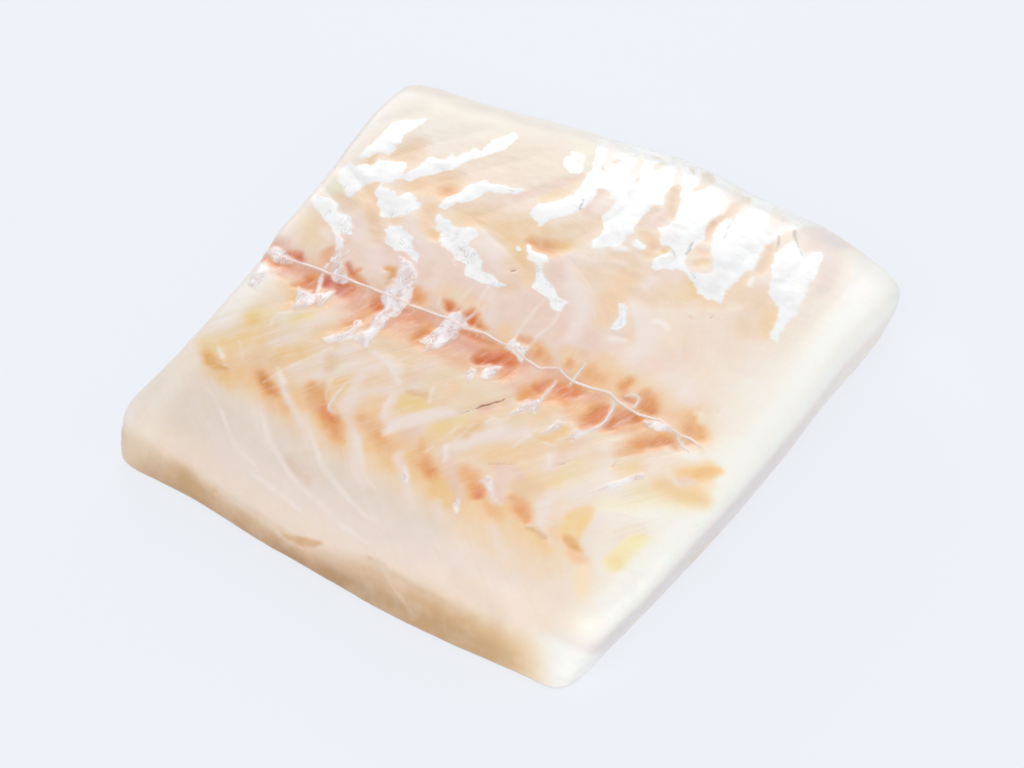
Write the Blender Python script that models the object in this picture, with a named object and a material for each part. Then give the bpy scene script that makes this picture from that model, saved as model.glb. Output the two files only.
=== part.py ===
"""A thick skinless portion of cod fillet, flesh side up, modelled in metres with +Z up.

The fish's length runs along X (knife cuts at both X ends), and Y runs from the thin belly side (-Y)
to the rounded back side (+Y). The portion is one closed solid. Its side wall is a superellipse
profile swept round the outline, and its top is a height field with the W-shaped muscle blocks.
"""

import bpy
import numpy as np

MM = 0.001

# Outline of the shoulder, the widest level of the portion, in mm. Each side is a smooth curve through
# knots spaced evenly from -60 to 60 along that side.
HEAD_CUT = (-61.3, -56.9, -54.9, -56.4, -57.3, -59.4, -61.8)   # X of the left knife cut
TAIL_CUT = (50.5, 53.8, 56.9, 58.1, 59.3, 61.0, 60.8)          # X of the right knife cut
BACK_EDGE = (58.3, 62.4, 64.5, 67.2, 64.6, 61.7, 54.7)         # Y of the rounded back edge
BELLY_EDGE = (-56.9, -57.3, -60.8, -62.2, -62.1, -61.9, -62.5)  # Y of the belly edge
CORNER_RADII = (4.7, 5.0, 9.7, 5.7)   # belly-head, belly-tail, back-tail, back-head corners

# Heights in mm.
THICKNESS = 20.5        # loin, a little behind the midline
BOTTOM_ROUND = 1.4      # radius of the lower edge
TAIL_UNDERCUT = 4.6     # the right cut leans in under the top by this much
HEAD_UNDERCUT = 1.2     # and the left cut by this much
BACK_UNDERCUT = 1.5     # the back edge rolls under
BELLY_FLARE = 2.4       # the belly edge spreads out at its foot
CUT_RIM = 8.0           # how far inside the shoulder the top starts to fall at the knife cuts
BACK_RIM = 18.0         # and at the rounded back edge
BELLY_RIM = 9.0         # and at the belly edge

# Muscle blocks: the septa between them repeat along X.
SEPTA_X = (-51.0, -38.2, -24.6, -11.0, 3.1, 15.9, 26.5, 35.5, 45.0)   # where they cross the midline
MIDLINE_Y = -10.5       # horizontal septum, where the backbone lay
BACK_BEND_Y = 3.5       # where the septa start to lean towards the head
BACK_KINK_Y = 17.8      # where they turn in the back muscle
BELLY_KINK_Y = -41.0    # where they turn again in the belly muscle, at the head end
BELLY_KINK_DRIFT = 5.5  # how far that turn drops towards the tail end
RIDGE = 0.55            # how far a muscle block bulges between two septa
SPINE_GROOVE = 1.3      # depth of the shallow trough along the midline

TOP_CELLS = 44          # cells along each side of the top
WALL_ROWS = 11          # rows down the side wall


def smoothstep(lo, hi, x):
    t = np.clip((x - lo) / (hi - lo), 0.0, 1.0)
    return t * t * (3.0 - 2.0 * t)


def bump(x, centre, width):
    return np.exp(-(((x - centre) / width) ** 2))


def through(knots, at):
    """Smooth curve through knots spaced evenly from -60 to 60 mm."""
    last = len(knots) - 1
    padded = np.array((2 * knots[0] - knots[1],) + tuple(knots) + (2 * knots[-1] - knots[-2],))
    u = np.clip((at + 60.0) * last / 120.0, 0.0, last - 1e-9)
    i = np.floor(u).astype(int)
    t = u - i
    a, b, c, d = padded[i], padded[i + 1], padded[i + 2], padded[i + 3]
    return b + 0.5 * t * (c - a + t * (2 * a - 5 * b + 4 * c - d + t * (3 * b - a - 3 * c + d)))


def head_side(y):
    """X of the left knife cut."""
    return through(HEAD_CUT, y) + 0.3 * np.sin(y / 6.5)


def tail_side(y):
    """X of the right knife cut."""
    return through(TAIL_CUT, y) + 0.3 * np.sin(y / 8.0 + 1.0)


def back_side(x):
    """Y of the rounded back edge."""
    return through(BACK_EDGE, x) + 0.35 * np.sin(x / 5.0)


def belly_side(x):
    """Y of the belly edge at shoulder level."""
    return through(BELLY_EDGE, x) - 0.4 * np.sin(x / 9.0)


def shoulder_outline(per_side):
    """Closed outline with 4 * per_side points, counter-clockwise from the belly-head corner, and each point's outward normal."""
    n = 400
    t = np.linspace(0.0, 1.0, n, endpoint=False)
    corners = []
    for x, y in ((-60.0, -60.0), (60.0, -60.0), (60.0, 60.0), (-60.0, 60.0)):
        for _ in range(30):
            cx = head_side(np.array(y)) if x < 0 else tail_side(np.array(y))
            y = belly_side(cx) if y < 0 else back_side(cx)
        corners.append((float(cx), float(y)))
    (x0, y0), (x1, y1), (x2, y2), (x3, y3) = corners
    belly = np.stack([x0 + (x1 - x0) * t, belly_side(x0 + (x1 - x0) * t)], 1)
    tail = np.stack([tail_side(y1 + (y2 - y1) * t), y1 + (y2 - y1) * t], 1)
    back = np.stack([x2 + (x3 - x2) * t, back_side(x2 + (x3 - x2) * t)], 1)
    head = np.stack([head_side(y3 + (y0 - y3) * t), y3 + (y0 - y3) * t], 1)
    loop = np.concatenate([belly, tail, back, head])
    for radius, corner in zip(CORNER_RADII, range(4)):
        loop = round_corner(loop, np.array(corners[corner]), radius)
    steps = np.linalg.norm(np.roll(loop, -1, 0) - loop, axis=1)
    along = np.concatenate([[0.0], np.cumsum(steps)])
    closed = np.concatenate([loop, loop[:1]])
    marks = []
    for corner in corners:
        marks.append(along[int(np.argmin(((loop - corner) ** 2).sum(1)))])
    marks = sorted(marks) + [min(marks) + along[-1]]
    s = np.concatenate([np.linspace(a, b, per_side, endpoint=False) for a, b in zip(marks[:-1], marks[1:])]) % along[-1]
    points = np.stack([np.interp(s, along, closed[:, k]) for k in range(2)], 1)
    tangent = np.roll(points, -1, 0) - np.roll(points, 1, 0)
    tangent /= np.linalg.norm(tangent, axis=1)[:, None]
    return points, np.stack([tangent[:, 1], -tangent[:, 0]], 1)


def round_corner(loop, corner, radius):
    """Pulls the loop in towards an arc near a corner, as a few passes of smoothing weighted by closeness."""
    near = np.exp(-(((loop - corner) ** 2).sum(1)) / (radius * 1.1) ** 2)
    for _ in range(int(9 * radius ** 2)):
        middle = 0.5 * (np.roll(loop, 1, 0) + np.roll(loop, -1, 0))
        loop = loop + (near * 0.98)[:, None] * (middle - loop)
    return loop


def smooth_round(values, passes):
    for _ in range(passes):
        values = 0.5 * values + 0.25 * (np.roll(values, 1) + np.roll(values, -1))
    return values


def wall_shape(points):
    """For each outline point: its place on the rim of the top, superellipse exponent, and the foot's place against the shoulder."""
    x, y = points[:, 0], points[:, 1]
    to_belly = smoothstep(14.0, 2.0, y - belly_side(x))
    to_back = smoothstep(16.0, 3.0, back_side(x) - y)
    to_tail = smoothstep(12.0, 2.0, tail_side(y) - x)
    to_head = smoothstep(12.0, 2.0, x - head_side(y))
    cut = np.clip(np.maximum(to_tail, to_head) - 0.75 * np.maximum(to_belly, to_back), 0.0, 1.0)
    inset = np.column_stack([np.full(len(x), CUT_RIM), np.where(y > 0.0, BACK_RIM, BELLY_RIM)])
    rim = points * (1.0 - inset / np.array([59.0, 63.0]))
    exponent = 2.5 + 4.3 * cut + 0.9 * to_belly
    foot_x = -TAIL_UNDERCUT * to_tail + HEAD_UNDERCUT * to_head
    foot_y = -(BELLY_FLARE + 2.0 * smoothstep(-20.0, 50.0, x)) * to_belly - BACK_UNDERCUT * to_back
    return rim, smooth_round(exponent, 10), np.column_stack([smooth_round(foot_x, 6), smooth_round(foot_y, 6)])


def ramp(x, softness):
    """Zero below 0 and x above it, with a rounded bend."""
    return 0.5 * (x + np.sqrt(x * x + softness * softness)) - 0.5 * softness * np.exp(-np.abs(x) / softness)


def belly_kink(x):
    return BELLY_KINK_Y - BELLY_KINK_DRIFT * smoothstep(-30.0, 52.0, x)


def septum_shift(x, y):
    """X of a septum against where it crosses the midline: a W lying on its side."""
    above = np.minimum(ramp(y - BACK_BEND_Y, 3.0), BACK_KINK_Y - BACK_BEND_Y)
    lean = 1.65 - 1.2 * smoothstep(-20.0, 30.0, x)
    back = -0.25 * smoothstep(0.0, -40.0, x) * np.clip(y - MIDLINE_Y, 0.0, 14.0) - lean * above
    back = back + (0.62 - 0.55 * smoothstep(-25.0, 12.0, x)) * ramp(y - BACK_KINK_Y, 2.0)
    kink = belly_kink(x)
    below = np.clip(MIDLINE_Y - y, 0.0, MIDLINE_Y - kink)
    past = ramp(kink - y, 2.0)
    belly = -0.35 * np.minimum(below, 8.0) - 0.95 * np.maximum(below - 8.0, 0.0) + 0.95 * past + 0.6 * np.maximum(past - 8.0, 0.0)
    return np.where(y > MIDLINE_Y, back, belly)


def septum_phase(x, y):
    """Whole numbers on the septa, counted from the head cut."""
    at = x - septum_shift(x, y)
    count = len(SEPTA_X)
    stops = np.concatenate([SEPTA_X[0] - 13.2 * np.arange(9, 0, -1), SEPTA_X, SEPTA_X[-1] + 11.0 * np.arange(1, 10)])
    return np.interp(at, stops, np.arange(-9.0, count + 9.0))


def body_height(x, y):
    """Smooth thickness of the portion, in mm."""
    loin = 1.0 - 0.085 * ((y - 6.0) / 40.0) ** 2 - 0.045 * np.maximum((y - 20.0) / 30.0, 0.0) ** 2
    belly = 1.0 - 0.34 * smoothstep(-22.0, -64.0, y) * smoothstep(52.0, -56.0, x)
    along = 1.0 - 0.05 * smoothstep(0.0, -58.0, x) - 0.02 * smoothstep(0.0, 58.0, x)
    return THICKNESS * loin * belly * along


def relief(x, y):
    """Muscle blocks and the trough of the backbone, in mm, added to the thickness."""
    swell = np.abs(np.sin(np.pi * septum_phase(x, y))) ** 0.7
    strength = 0.45 + 0.55 * bump(y, MIDLINE_Y, 34.0)
    groove = -SPINE_GROOVE * bump(y, MIDLINE_Y - 1.0, 6.0) * smoothstep(62.0, 36.0, x)
    kinks = -0.6 * bump(y, belly_kink(x), 4.0) * (1.0 - 0.5 * swell)
    return RIDGE * strength * (swell - 0.7) + groove + kinks


def top_height(x, y):
    return body_height(x, y) + relief(x, y)


def fillet_solid():
    """(vertices, faces) of the closed solid, in mm."""
    n, rows = TOP_CELLS, WALL_ROWS
    outline, normal = shoulder_outline(n)
    rim_plan, exponent, foot = wall_shape(outline)
    count = len(outline)

    # Wall rows: from the rim of the top, over the shoulder, down to the foot. Each ring is a list of 3-D points.
    fine = 160
    angle = np.linspace(0.0, np.pi / 2.0, fine)
    rings = np.empty((rows + 1, count, 3))
    for k in range(count):
        p = 2.0 / exponent[k]
        out = np.sin(angle) ** p
        down = np.cos(angle) ** p
        down[-1] = 0.0
        xy = rim_plan[k] + out[:, None] * (outline[k] - rim_plan[k])
        height = top_height(xy[:, 0], xy[:, 1])
        z = BOTTOM_ROUND + (height - BOTTOM_ROUND) * down
        xyz = np.column_stack([xy + ((1.0 - down) ** 1.15)[:, None] * foot[k], z])
        along = np.concatenate([[0.0], np.cumsum(np.linalg.norm(np.diff(xyz, axis=0), axis=1))])
        at = np.linspace(0.0, along[-1], rows + 1)
        for axis in range(3):
            rings[:, k, axis] = np.interp(at, along, xyz[:, axis])

    vertices, faces = [], []

    # Top: a Coons patch inside the first ring.
    rim = rings[0]
    sides = [rim[i * n:(i + 1) * n + 1] if i < 3 else np.concatenate([rim[3 * n:], rim[:1]]) for i in range(4)]
    south, east, north, west = sides[0], sides[1], sides[2][::-1], sides[3][::-1]
    a = np.linspace(0.0, 1.0, n + 1)[:, None, None]
    b = np.linspace(0.0, 1.0, n + 1)[None, :, None]
    grid = ((1 - b) * south[:, None] + b * north[:, None] + (1 - a) * west[None] + a * east[None]
            - (1 - a) * (1 - b) * south[0] - a * (1 - b) * south[-1] - (1 - a) * b * north[0] - a * b * north[-1])
    grid[..., 2] = top_height(grid[..., 0], grid[..., 1])
    index = np.full((n + 1, n + 1), -1)
    ring_index = [0] * count
    order = ([(i, 0) for i in range(n)] + [(n, j) for j in range(n)]
             + [(i, n) for i in range(n, 0, -1)] + [(0, j) for j in range(n, 0, -1)])
    for k, (i, j) in enumerate(order):
        index[i, j] = len(vertices)
        ring_index[k] = len(vertices)
        vertices.append(tuple(rings[0, k]))
    for i in range(1, n):
        for j in range(1, n):
            index[i, j] = len(vertices)
            vertices.append(tuple(grid[i, j]))
    for i in range(n):
        for j in range(n):
            faces.append((index[i, j], index[i + 1, j], index[i + 1, j + 1], index[i, j + 1]))

    # Wall.
    upper = ring_index
    for r in range(1, rows + 1):
        lower = list(range(len(vertices), len(vertices) + count))
        vertices.extend(map(tuple, rings[r]))
        for k in range(count):
            m = (k + 1) % count
            faces.append((upper[k], lower[k], lower[m], upper[m]))
        upper = lower

    # Rounded lower edge and flat underside.
    foot_ring = rings[-1]
    for turn in (30.0, 60.0, 90.0):
        t = np.radians(turn)
        inset = BOTTOM_ROUND * (1.0 - np.cos(t))
        z = BOTTOM_ROUND * (1.0 - np.sin(t))
        lower = list(range(len(vertices), len(vertices) + count))
        for k in range(count):
            x, y = foot_ring[k, :2] - inset * normal[k]
            vertices.append((x, y, z))
        for k in range(count):
            m = (k + 1) % count
            faces.append((upper[k], lower[k], lower[m], upper[m]))
        upper = lower
    faces.append(tuple(upper[::-1]))

    # Centre the portion over the origin.
    vertices = np.array(vertices)
    vertices[:, :2] -= 0.5 * (vertices[:, :2].max(axis=0) + vertices[:, :2].min(axis=0))
    return vertices, faces


def build_fillet():
    vertices, faces = fillet_solid()
    mesh = bpy.data.meshes.new("cod_fillet")
    mesh.from_pydata([(x * MM, y * MM, z * MM) for x, y, z in vertices], [], faces)
    mesh.validate()
    mesh.shade_smooth()
    return bpy.data.objects.new("cod_fillet", mesh)


def flesh_material():
    material = bpy.data.materials.new("cod_flesh")
    material.use_nodes = True
    shader = material.node_tree.nodes["Principled BSDF"]
    shader.inputs["Base Color"].default_value = (0.86, 0.72, 0.58, 1.0)
    shader.inputs["Roughness"].default_value = 0.3
    shader.inputs["Metallic"].default_value = 0.0
    return material


for old in list(bpy.data.objects):
    bpy.data.objects.remove(old, do_unlink=True)

fillet = build_fillet()
fillet.data.materials.append(flesh_material())
bpy.context.scene.collection.objects.link(fillet)
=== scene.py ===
"""Looks of a thick skinless cod portion: one dense mesh for the flesh, thin membrane threads on it, soft light and a pale floor.

Lengths in the shape functions are in millimetres. The fish runs along X, its belly edge is at -Y and its back at +Y.
"""

import math

import bpy
import numpy as np
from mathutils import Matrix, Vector


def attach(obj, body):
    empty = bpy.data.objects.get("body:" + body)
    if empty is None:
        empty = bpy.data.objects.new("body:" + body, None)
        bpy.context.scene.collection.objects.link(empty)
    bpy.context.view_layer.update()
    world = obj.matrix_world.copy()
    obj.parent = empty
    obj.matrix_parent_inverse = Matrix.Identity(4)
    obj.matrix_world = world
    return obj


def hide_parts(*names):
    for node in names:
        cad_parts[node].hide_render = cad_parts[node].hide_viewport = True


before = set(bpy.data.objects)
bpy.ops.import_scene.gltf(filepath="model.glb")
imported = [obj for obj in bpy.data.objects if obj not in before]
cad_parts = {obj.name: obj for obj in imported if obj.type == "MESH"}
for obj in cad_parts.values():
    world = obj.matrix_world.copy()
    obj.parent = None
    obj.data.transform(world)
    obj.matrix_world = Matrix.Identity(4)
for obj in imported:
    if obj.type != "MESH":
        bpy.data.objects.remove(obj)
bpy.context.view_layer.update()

MM = 0.001

# ---------------------------------------------------------------- shape, the same as the solid's

HEAD_CUT = (-61.3, -56.9, -54.9, -56.4, -57.3, -59.4, -61.8)
TAIL_CUT = (50.5, 53.8, 56.9, 58.1, 59.3, 61.0, 60.8)
BACK_EDGE = (58.3, 62.4, 64.5, 67.2, 64.6, 61.7, 54.7)
BELLY_EDGE = (-56.9, -57.3, -60.8, -62.2, -62.1, -61.9, -62.5)
CORNER_RADII = (4.7, 5.0, 9.7, 5.7)
THICKNESS = 20.5
BOTTOM_ROUND = 1.4
TAIL_UNDERCUT = 4.6
HEAD_UNDERCUT = 1.2
BACK_UNDERCUT = 1.5
BELLY_FLARE = 2.4
CUT_RIM = 8.0
BACK_RIM = 18.0
BELLY_RIM = 9.0
SEPTA_X = (-51.0, -38.2, -24.6, -11.0, 3.1, 15.9, 26.5, 35.5, 45.0)
MIDLINE_Y = -10.5
BACK_BEND_Y = 3.5
BACK_KINK_Y = 17.8
BELLY_KINK_Y = -41.0
BELLY_KINK_DRIFT = 5.5
RIDGE = 0.55
SPINE_GROOVE = 1.3

TOP_X = 220       # cells of the top along the fish
TOP_Y = 240       # and across it
WALL_ROWS = 36    # rows down the side
UNDER_STEP = 4    # cells of the underside are this many times larger


def smoothstep(lo, hi, x):
    t = np.clip((x - lo) / (hi - lo), 0.0, 1.0)
    return t * t * (3.0 - 2.0 * t)


def bump(x, centre, width):
    return np.exp(-(((x - centre) / width) ** 2))


def through(knots, at):
    last = len(knots) - 1
    padded = np.array((2 * knots[0] - knots[1],) + tuple(knots) + (2 * knots[-1] - knots[-2],))
    u = np.clip((at + 60.0) * last / 120.0, 0.0, last - 1e-9)
    i = np.floor(u).astype(int)
    t = u - i
    a, b, c, d = padded[i], padded[i + 1], padded[i + 2], padded[i + 3]
    return b + 0.5 * t * (c - a + t * (2 * a - 5 * b + 4 * c - d + t * (3 * b - a - 3 * c + d)))


def head_side(y):
    return through(HEAD_CUT, y) + 0.3 * np.sin(y / 6.5)


def tail_side(y):
    return through(TAIL_CUT, y) + 0.3 * np.sin(y / 8.0 + 1.0)


def back_side(x):
    return through(BACK_EDGE, x) + 0.35 * np.sin(x / 5.0)


def belly_side(x):
    return through(BELLY_EDGE, x) - 0.4 * np.sin(x / 9.0)


def round_corner(loop, corner, radius):
    near = np.exp(-(((loop - corner) ** 2).sum(1)) / (radius * 1.1) ** 2)
    for _ in range(int(9 * radius ** 2)):
        middle = 0.5 * (np.roll(loop, 1, 0) + np.roll(loop, -1, 0))
        loop = loop + (near * 0.98)[:, None] * (middle - loop)
    return loop


def shoulder_outline(counts):
    """Closed outline, counter-clockwise from the belly-head corner, with so many points on each of the four sides."""
    n = 400
    t = np.linspace(0.0, 1.0, n, endpoint=False)
    corners = []
    for x, y in ((-60.0, -60.0), (60.0, -60.0), (60.0, 60.0), (-60.0, 60.0)):
        for _ in range(30):
            cx = head_side(np.array(y)) if x < 0 else tail_side(np.array(y))
            y = belly_side(cx) if y < 0 else back_side(cx)
        corners.append((float(cx), float(y)))
    (x0, y0), (x1, y1), (x2, y2), (x3, y3) = corners
    belly = np.stack([x0 + (x1 - x0) * t, belly_side(x0 + (x1 - x0) * t)], 1)
    tail = np.stack([tail_side(y1 + (y2 - y1) * t), y1 + (y2 - y1) * t], 1)
    back = np.stack([x2 + (x3 - x2) * t, back_side(x2 + (x3 - x2) * t)], 1)
    head = np.stack([head_side(y3 + (y0 - y3) * t), y3 + (y0 - y3) * t], 1)
    loop = np.concatenate([belly, tail, back, head])
    for radius, corner in zip(CORNER_RADII, corners):
        loop = round_corner(loop, np.array(corner), radius)
    steps = np.linalg.norm(np.roll(loop, -1, 0) - loop, axis=1)
    along = np.concatenate([[0.0], np.cumsum(steps)])
    closed = np.concatenate([loop, loop[:1]])
    marks = sorted(along[int(np.argmin(((loop - corner) ** 2).sum(1)))] for corner in corners)
    marks = marks + [marks[0] + along[-1]]
    s = np.concatenate([np.linspace(a, b, c, endpoint=False) for a, b, c in zip(marks[:-1], marks[1:], counts)]) % along[-1]
    points = np.stack([np.interp(s, along, closed[:, k]) for k in range(2)], 1)
    tangent = np.roll(points, -1, 0) - np.roll(points, 1, 0)
    tangent /= np.linalg.norm(tangent, axis=1)[:, None]
    return points, np.stack([tangent[:, 1], -tangent[:, 0]], 1)


def smooth_round(values, passes):
    for _ in range(passes):
        values = 0.5 * values + 0.25 * (np.roll(values, 1) + np.roll(values, -1))
    return values


def wall_shape(points):
    x, y = points[:, 0], points[:, 1]
    to_belly = smoothstep(14.0, 2.0, y - belly_side(x))
    to_back = smoothstep(16.0, 3.0, back_side(x) - y)
    to_tail = smoothstep(12.0, 2.0, tail_side(y) - x)
    to_head = smoothstep(12.0, 2.0, x - head_side(y))
    cut = np.clip(np.maximum(to_tail, to_head) - 0.75 * np.maximum(to_belly, to_back), 0.0, 1.0)
    inset = np.column_stack([np.full(len(x), CUT_RIM), np.where(y > 0.0, BACK_RIM, BELLY_RIM)])
    rim = points * (1.0 - inset / np.array([59.0, 63.0]))
    exponent = 2.5 + 4.3 * cut + 0.9 * to_belly
    foot_x = -TAIL_UNDERCUT * to_tail + HEAD_UNDERCUT * to_head
    foot_y = -(BELLY_FLARE + 2.0 * smoothstep(-20.0, 50.0, x)) * to_belly - BACK_UNDERCUT * to_back
    passes = 200
    return rim, smooth_round(exponent, passes), np.column_stack([smooth_round(foot_x, passes), smooth_round(foot_y, passes)])


def ramp(x, softness):
    return 0.5 * (x + np.sqrt(x * x + softness * softness)) - 0.5 * softness * np.exp(-np.abs(x) / softness)


def belly_kink(x):
    return BELLY_KINK_Y - BELLY_KINK_DRIFT * smoothstep(-30.0, 52.0, x)


def septum_shift(x, y):
    above = np.minimum(ramp(y - BACK_BEND_Y, 3.0), BACK_KINK_Y - BACK_BEND_Y)
    lean = 1.65 - 1.2 * smoothstep(-20.0, 30.0, x)
    back = -0.25 * smoothstep(0.0, -40.0, x) * np.clip(y - MIDLINE_Y, 0.0, 14.0) - lean * above
    back = back + (0.62 - 0.55 * smoothstep(-25.0, 12.0, x)) * ramp(y - BACK_KINK_Y, 2.0)
    kink = belly_kink(x)
    below = np.clip(MIDLINE_Y - y, 0.0, MIDLINE_Y - kink)
    past = ramp(kink - y, 2.0)
    belly = -0.35 * np.minimum(below, 8.0) - 0.95 * np.maximum(below - 8.0, 0.0) + 0.95 * past + 0.6 * np.maximum(past - 8.0, 0.0)
    return np.where(y > MIDLINE_Y, back, belly)


def septum_phase(x, y):
    at = x - septum_shift(x, y)
    count = len(SEPTA_X)
    stops = np.concatenate([SEPTA_X[0] - 13.2 * np.arange(9, 0, -1), SEPTA_X, SEPTA_X[-1] + 11.0 * np.arange(1, 10)])
    return np.interp(at, stops, np.arange(-9.0, count + 9.0))


def body_height(x, y):
    loin = 1.0 - 0.085 * ((y - 6.0) / 40.0) ** 2 - 0.045 * np.maximum((y - 20.0) / 30.0, 0.0) ** 2
    belly = 1.0 - 0.34 * smoothstep(-22.0, -64.0, y) * smoothstep(52.0, -56.0, x)
    along = 1.0 - 0.05 * smoothstep(0.0, -58.0, x) - 0.02 * smoothstep(0.0, 58.0, x)
    return THICKNESS * loin * belly * along


def block_relief(x, y):
    swell = np.abs(np.sin(np.pi * septum_phase(x, y))) ** 0.7
    strength = 0.45 + 0.55 * bump(y, MIDLINE_Y, 34.0)
    groove = -SPINE_GROOVE * bump(y, MIDLINE_Y - 1.0, 6.0) * smoothstep(62.0, 36.0, x)
    kinks = -0.6 * bump(y, belly_kink(x), 4.0) * (1.0 - 0.5 * swell)
    return 0.45 * RIDGE * strength * (swell - 0.7) + 0.45 * groove + 0.8 * kinks


# ---------------------------------------------------------------- noise and strokes


def hashed(i, j, k, seed):
    """A number from -1 to 1 for each lattice point."""
    n = (i.astype(np.int64) * 73856093) ^ (j.astype(np.int64) * 19349663) ^ (k.astype(np.int64) * 83492791) ^ (seed * 2654435761)
    n = n & 0xFFFFFFFF
    n = ((n ^ (n >> 15)) * 2246822519) & 0xFFFFFFFF
    n = ((n ^ (n >> 13)) * 3266489917) & 0xFFFFFFFF
    n = n ^ (n >> 16)
    return n / 2147483647.5 - 1.0


def noise(x, y, z, size, seed):
    """Smooth noise from -1 to 1 with features of that size."""
    x, y, z = x / size, y / size, z / size
    i, j, k = np.floor(x), np.floor(y), np.floor(z)
    u, v, w = (t * t * t * (t * (t * 6 - 15) + 10) for t in (x - i, y - j, z - k))
    total = 0.0
    for a in (0, 1):
        for b in (0, 1):
            for c in (0, 1):
                weight = (u if a else 1 - u) * (v if b else 1 - v) * (w if c else 1 - w)
                total = total + weight * hashed(i + a, j + b, k + c, seed)
    return total


def clouds(x, y, z, size, seed, layers=3):
    total, strength = 0.0, 1.0
    for layer in range(layers):
        total = total + strength * noise(x, y, z, size / 2 ** layer, seed + layer * 17)
        strength *= 0.5
    return total / 1.75


def close_to(x, y, corners, reach):
    """Indices of the points within that reach of the corners' box."""
    lo, hi = corners.min(axis=0) - reach, corners.max(axis=0) + reach
    return np.flatnonzero((x > lo[0]) & (x < hi[0]) & (y > lo[1]) & (y < hi[1]))


def rounded(chain):
    """The same chain with its corners cut twice."""
    for _ in range(2):
        inner = np.stack([0.75 * chain[:-1] + 0.25 * chain[1:], 0.25 * chain[:-1] + 0.75 * chain[1:]], 1).reshape(-1, 3)
        chain = np.concatenate([chain[:1], inner[1:-1], chain[-1:]])
    return chain


def stroke_depth(x, y, chain, reach):
    """Depth inside a tapered stroke of (x, y, radius) points, in mm and positive inside, for the points near it."""
    chain = np.array(chain, float)
    if len(chain) == 1:
        chain = np.concatenate([chain, chain + (0.01, 0.0, 0.0)])
    elif len(chain) > 2:
        chain = rounded(chain)
    near = close_to(x, y, chain[:, :2], chain[:, 2].max() + reach)
    px, py = x[near], y[near]
    best = np.full(len(near), -99.0)
    for (x0, y0, r0), (x1, y1, r1) in zip(chain[:-1], chain[1:]):
        dx, dy = x1 - x0, y1 - y0
        t = np.clip(((px - x0) * dx + (py - y0) * dy) / (dx * dx + dy * dy), 0.0, 1.0)
        best = np.maximum(best, r0 + (r1 - r0) * t - np.hypot(px - x0 - dx * t, py - y0 - dy * t))
    return near, best


def outline_depth(x, y, outline, reach):
    """Depth inside a closed outline, in mm and positive inside, for the points near it."""
    outline = np.array(outline, float)
    near = close_to(x, y, outline, reach)
    px, py = x[near], y[near]
    closest = np.full(len(near), 99.0)
    within = np.zeros(len(near), bool)
    for (x0, y0), (x1, y1) in zip(outline, np.roll(outline, -1, axis=0)):
        dx, dy = x1 - x0, y1 - y0
        t = np.clip(((px - x0) * dx + (py - y0) * dy) / (dx * dx + dy * dy), 0.0, 1.0)
        closest = np.minimum(closest, np.hypot(px - x0 - dx * t, py - y0 - dy * t))
        if y0 != y1:
            within ^= ((y0 > py) != (y1 > py)) & (px < dx * (py - y0) / dy + x0)
    return near, np.where(within, closest, -closest)


def deepest(x, y, shapes, depth, reach=4.0):
    best = np.full(np.shape(x), -reach)
    for shape in shapes:
        near, inside = depth(x, y, shape, reach)
        best[near] = np.maximum(best[near], inside)
    return best


# ---------------------------------------------------------------- what lies where on the flesh side

CREAM, IVORY, BEIGE, PEACH, TAN = (253, 247, 240), (244, 235, 225), (236, 220, 206), (239, 208, 174), (228, 198, 166)
HONEY, AMBER, ORANGE, CORAL, RED = (236, 201, 150), (228, 166, 92), (231, 160, 99), (221, 136, 83), (205, 110, 82)
ROSE, PINK, LILAC, MILK, STRAW = (218, 170, 150), (234, 209, 198), (240, 227, 221), (248, 243, 240), (237, 217, 164)
# The last colour on the next line is the painted sheen along the back.
OLIVE, GREY, BROWN, BACK_SHEEN = (232, 226, 205), (208, 204, 200), (206, 162, 116), (241, 239, 233)
EMBER, SAND = (217, 122, 62), (234, 209, 182)

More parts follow.
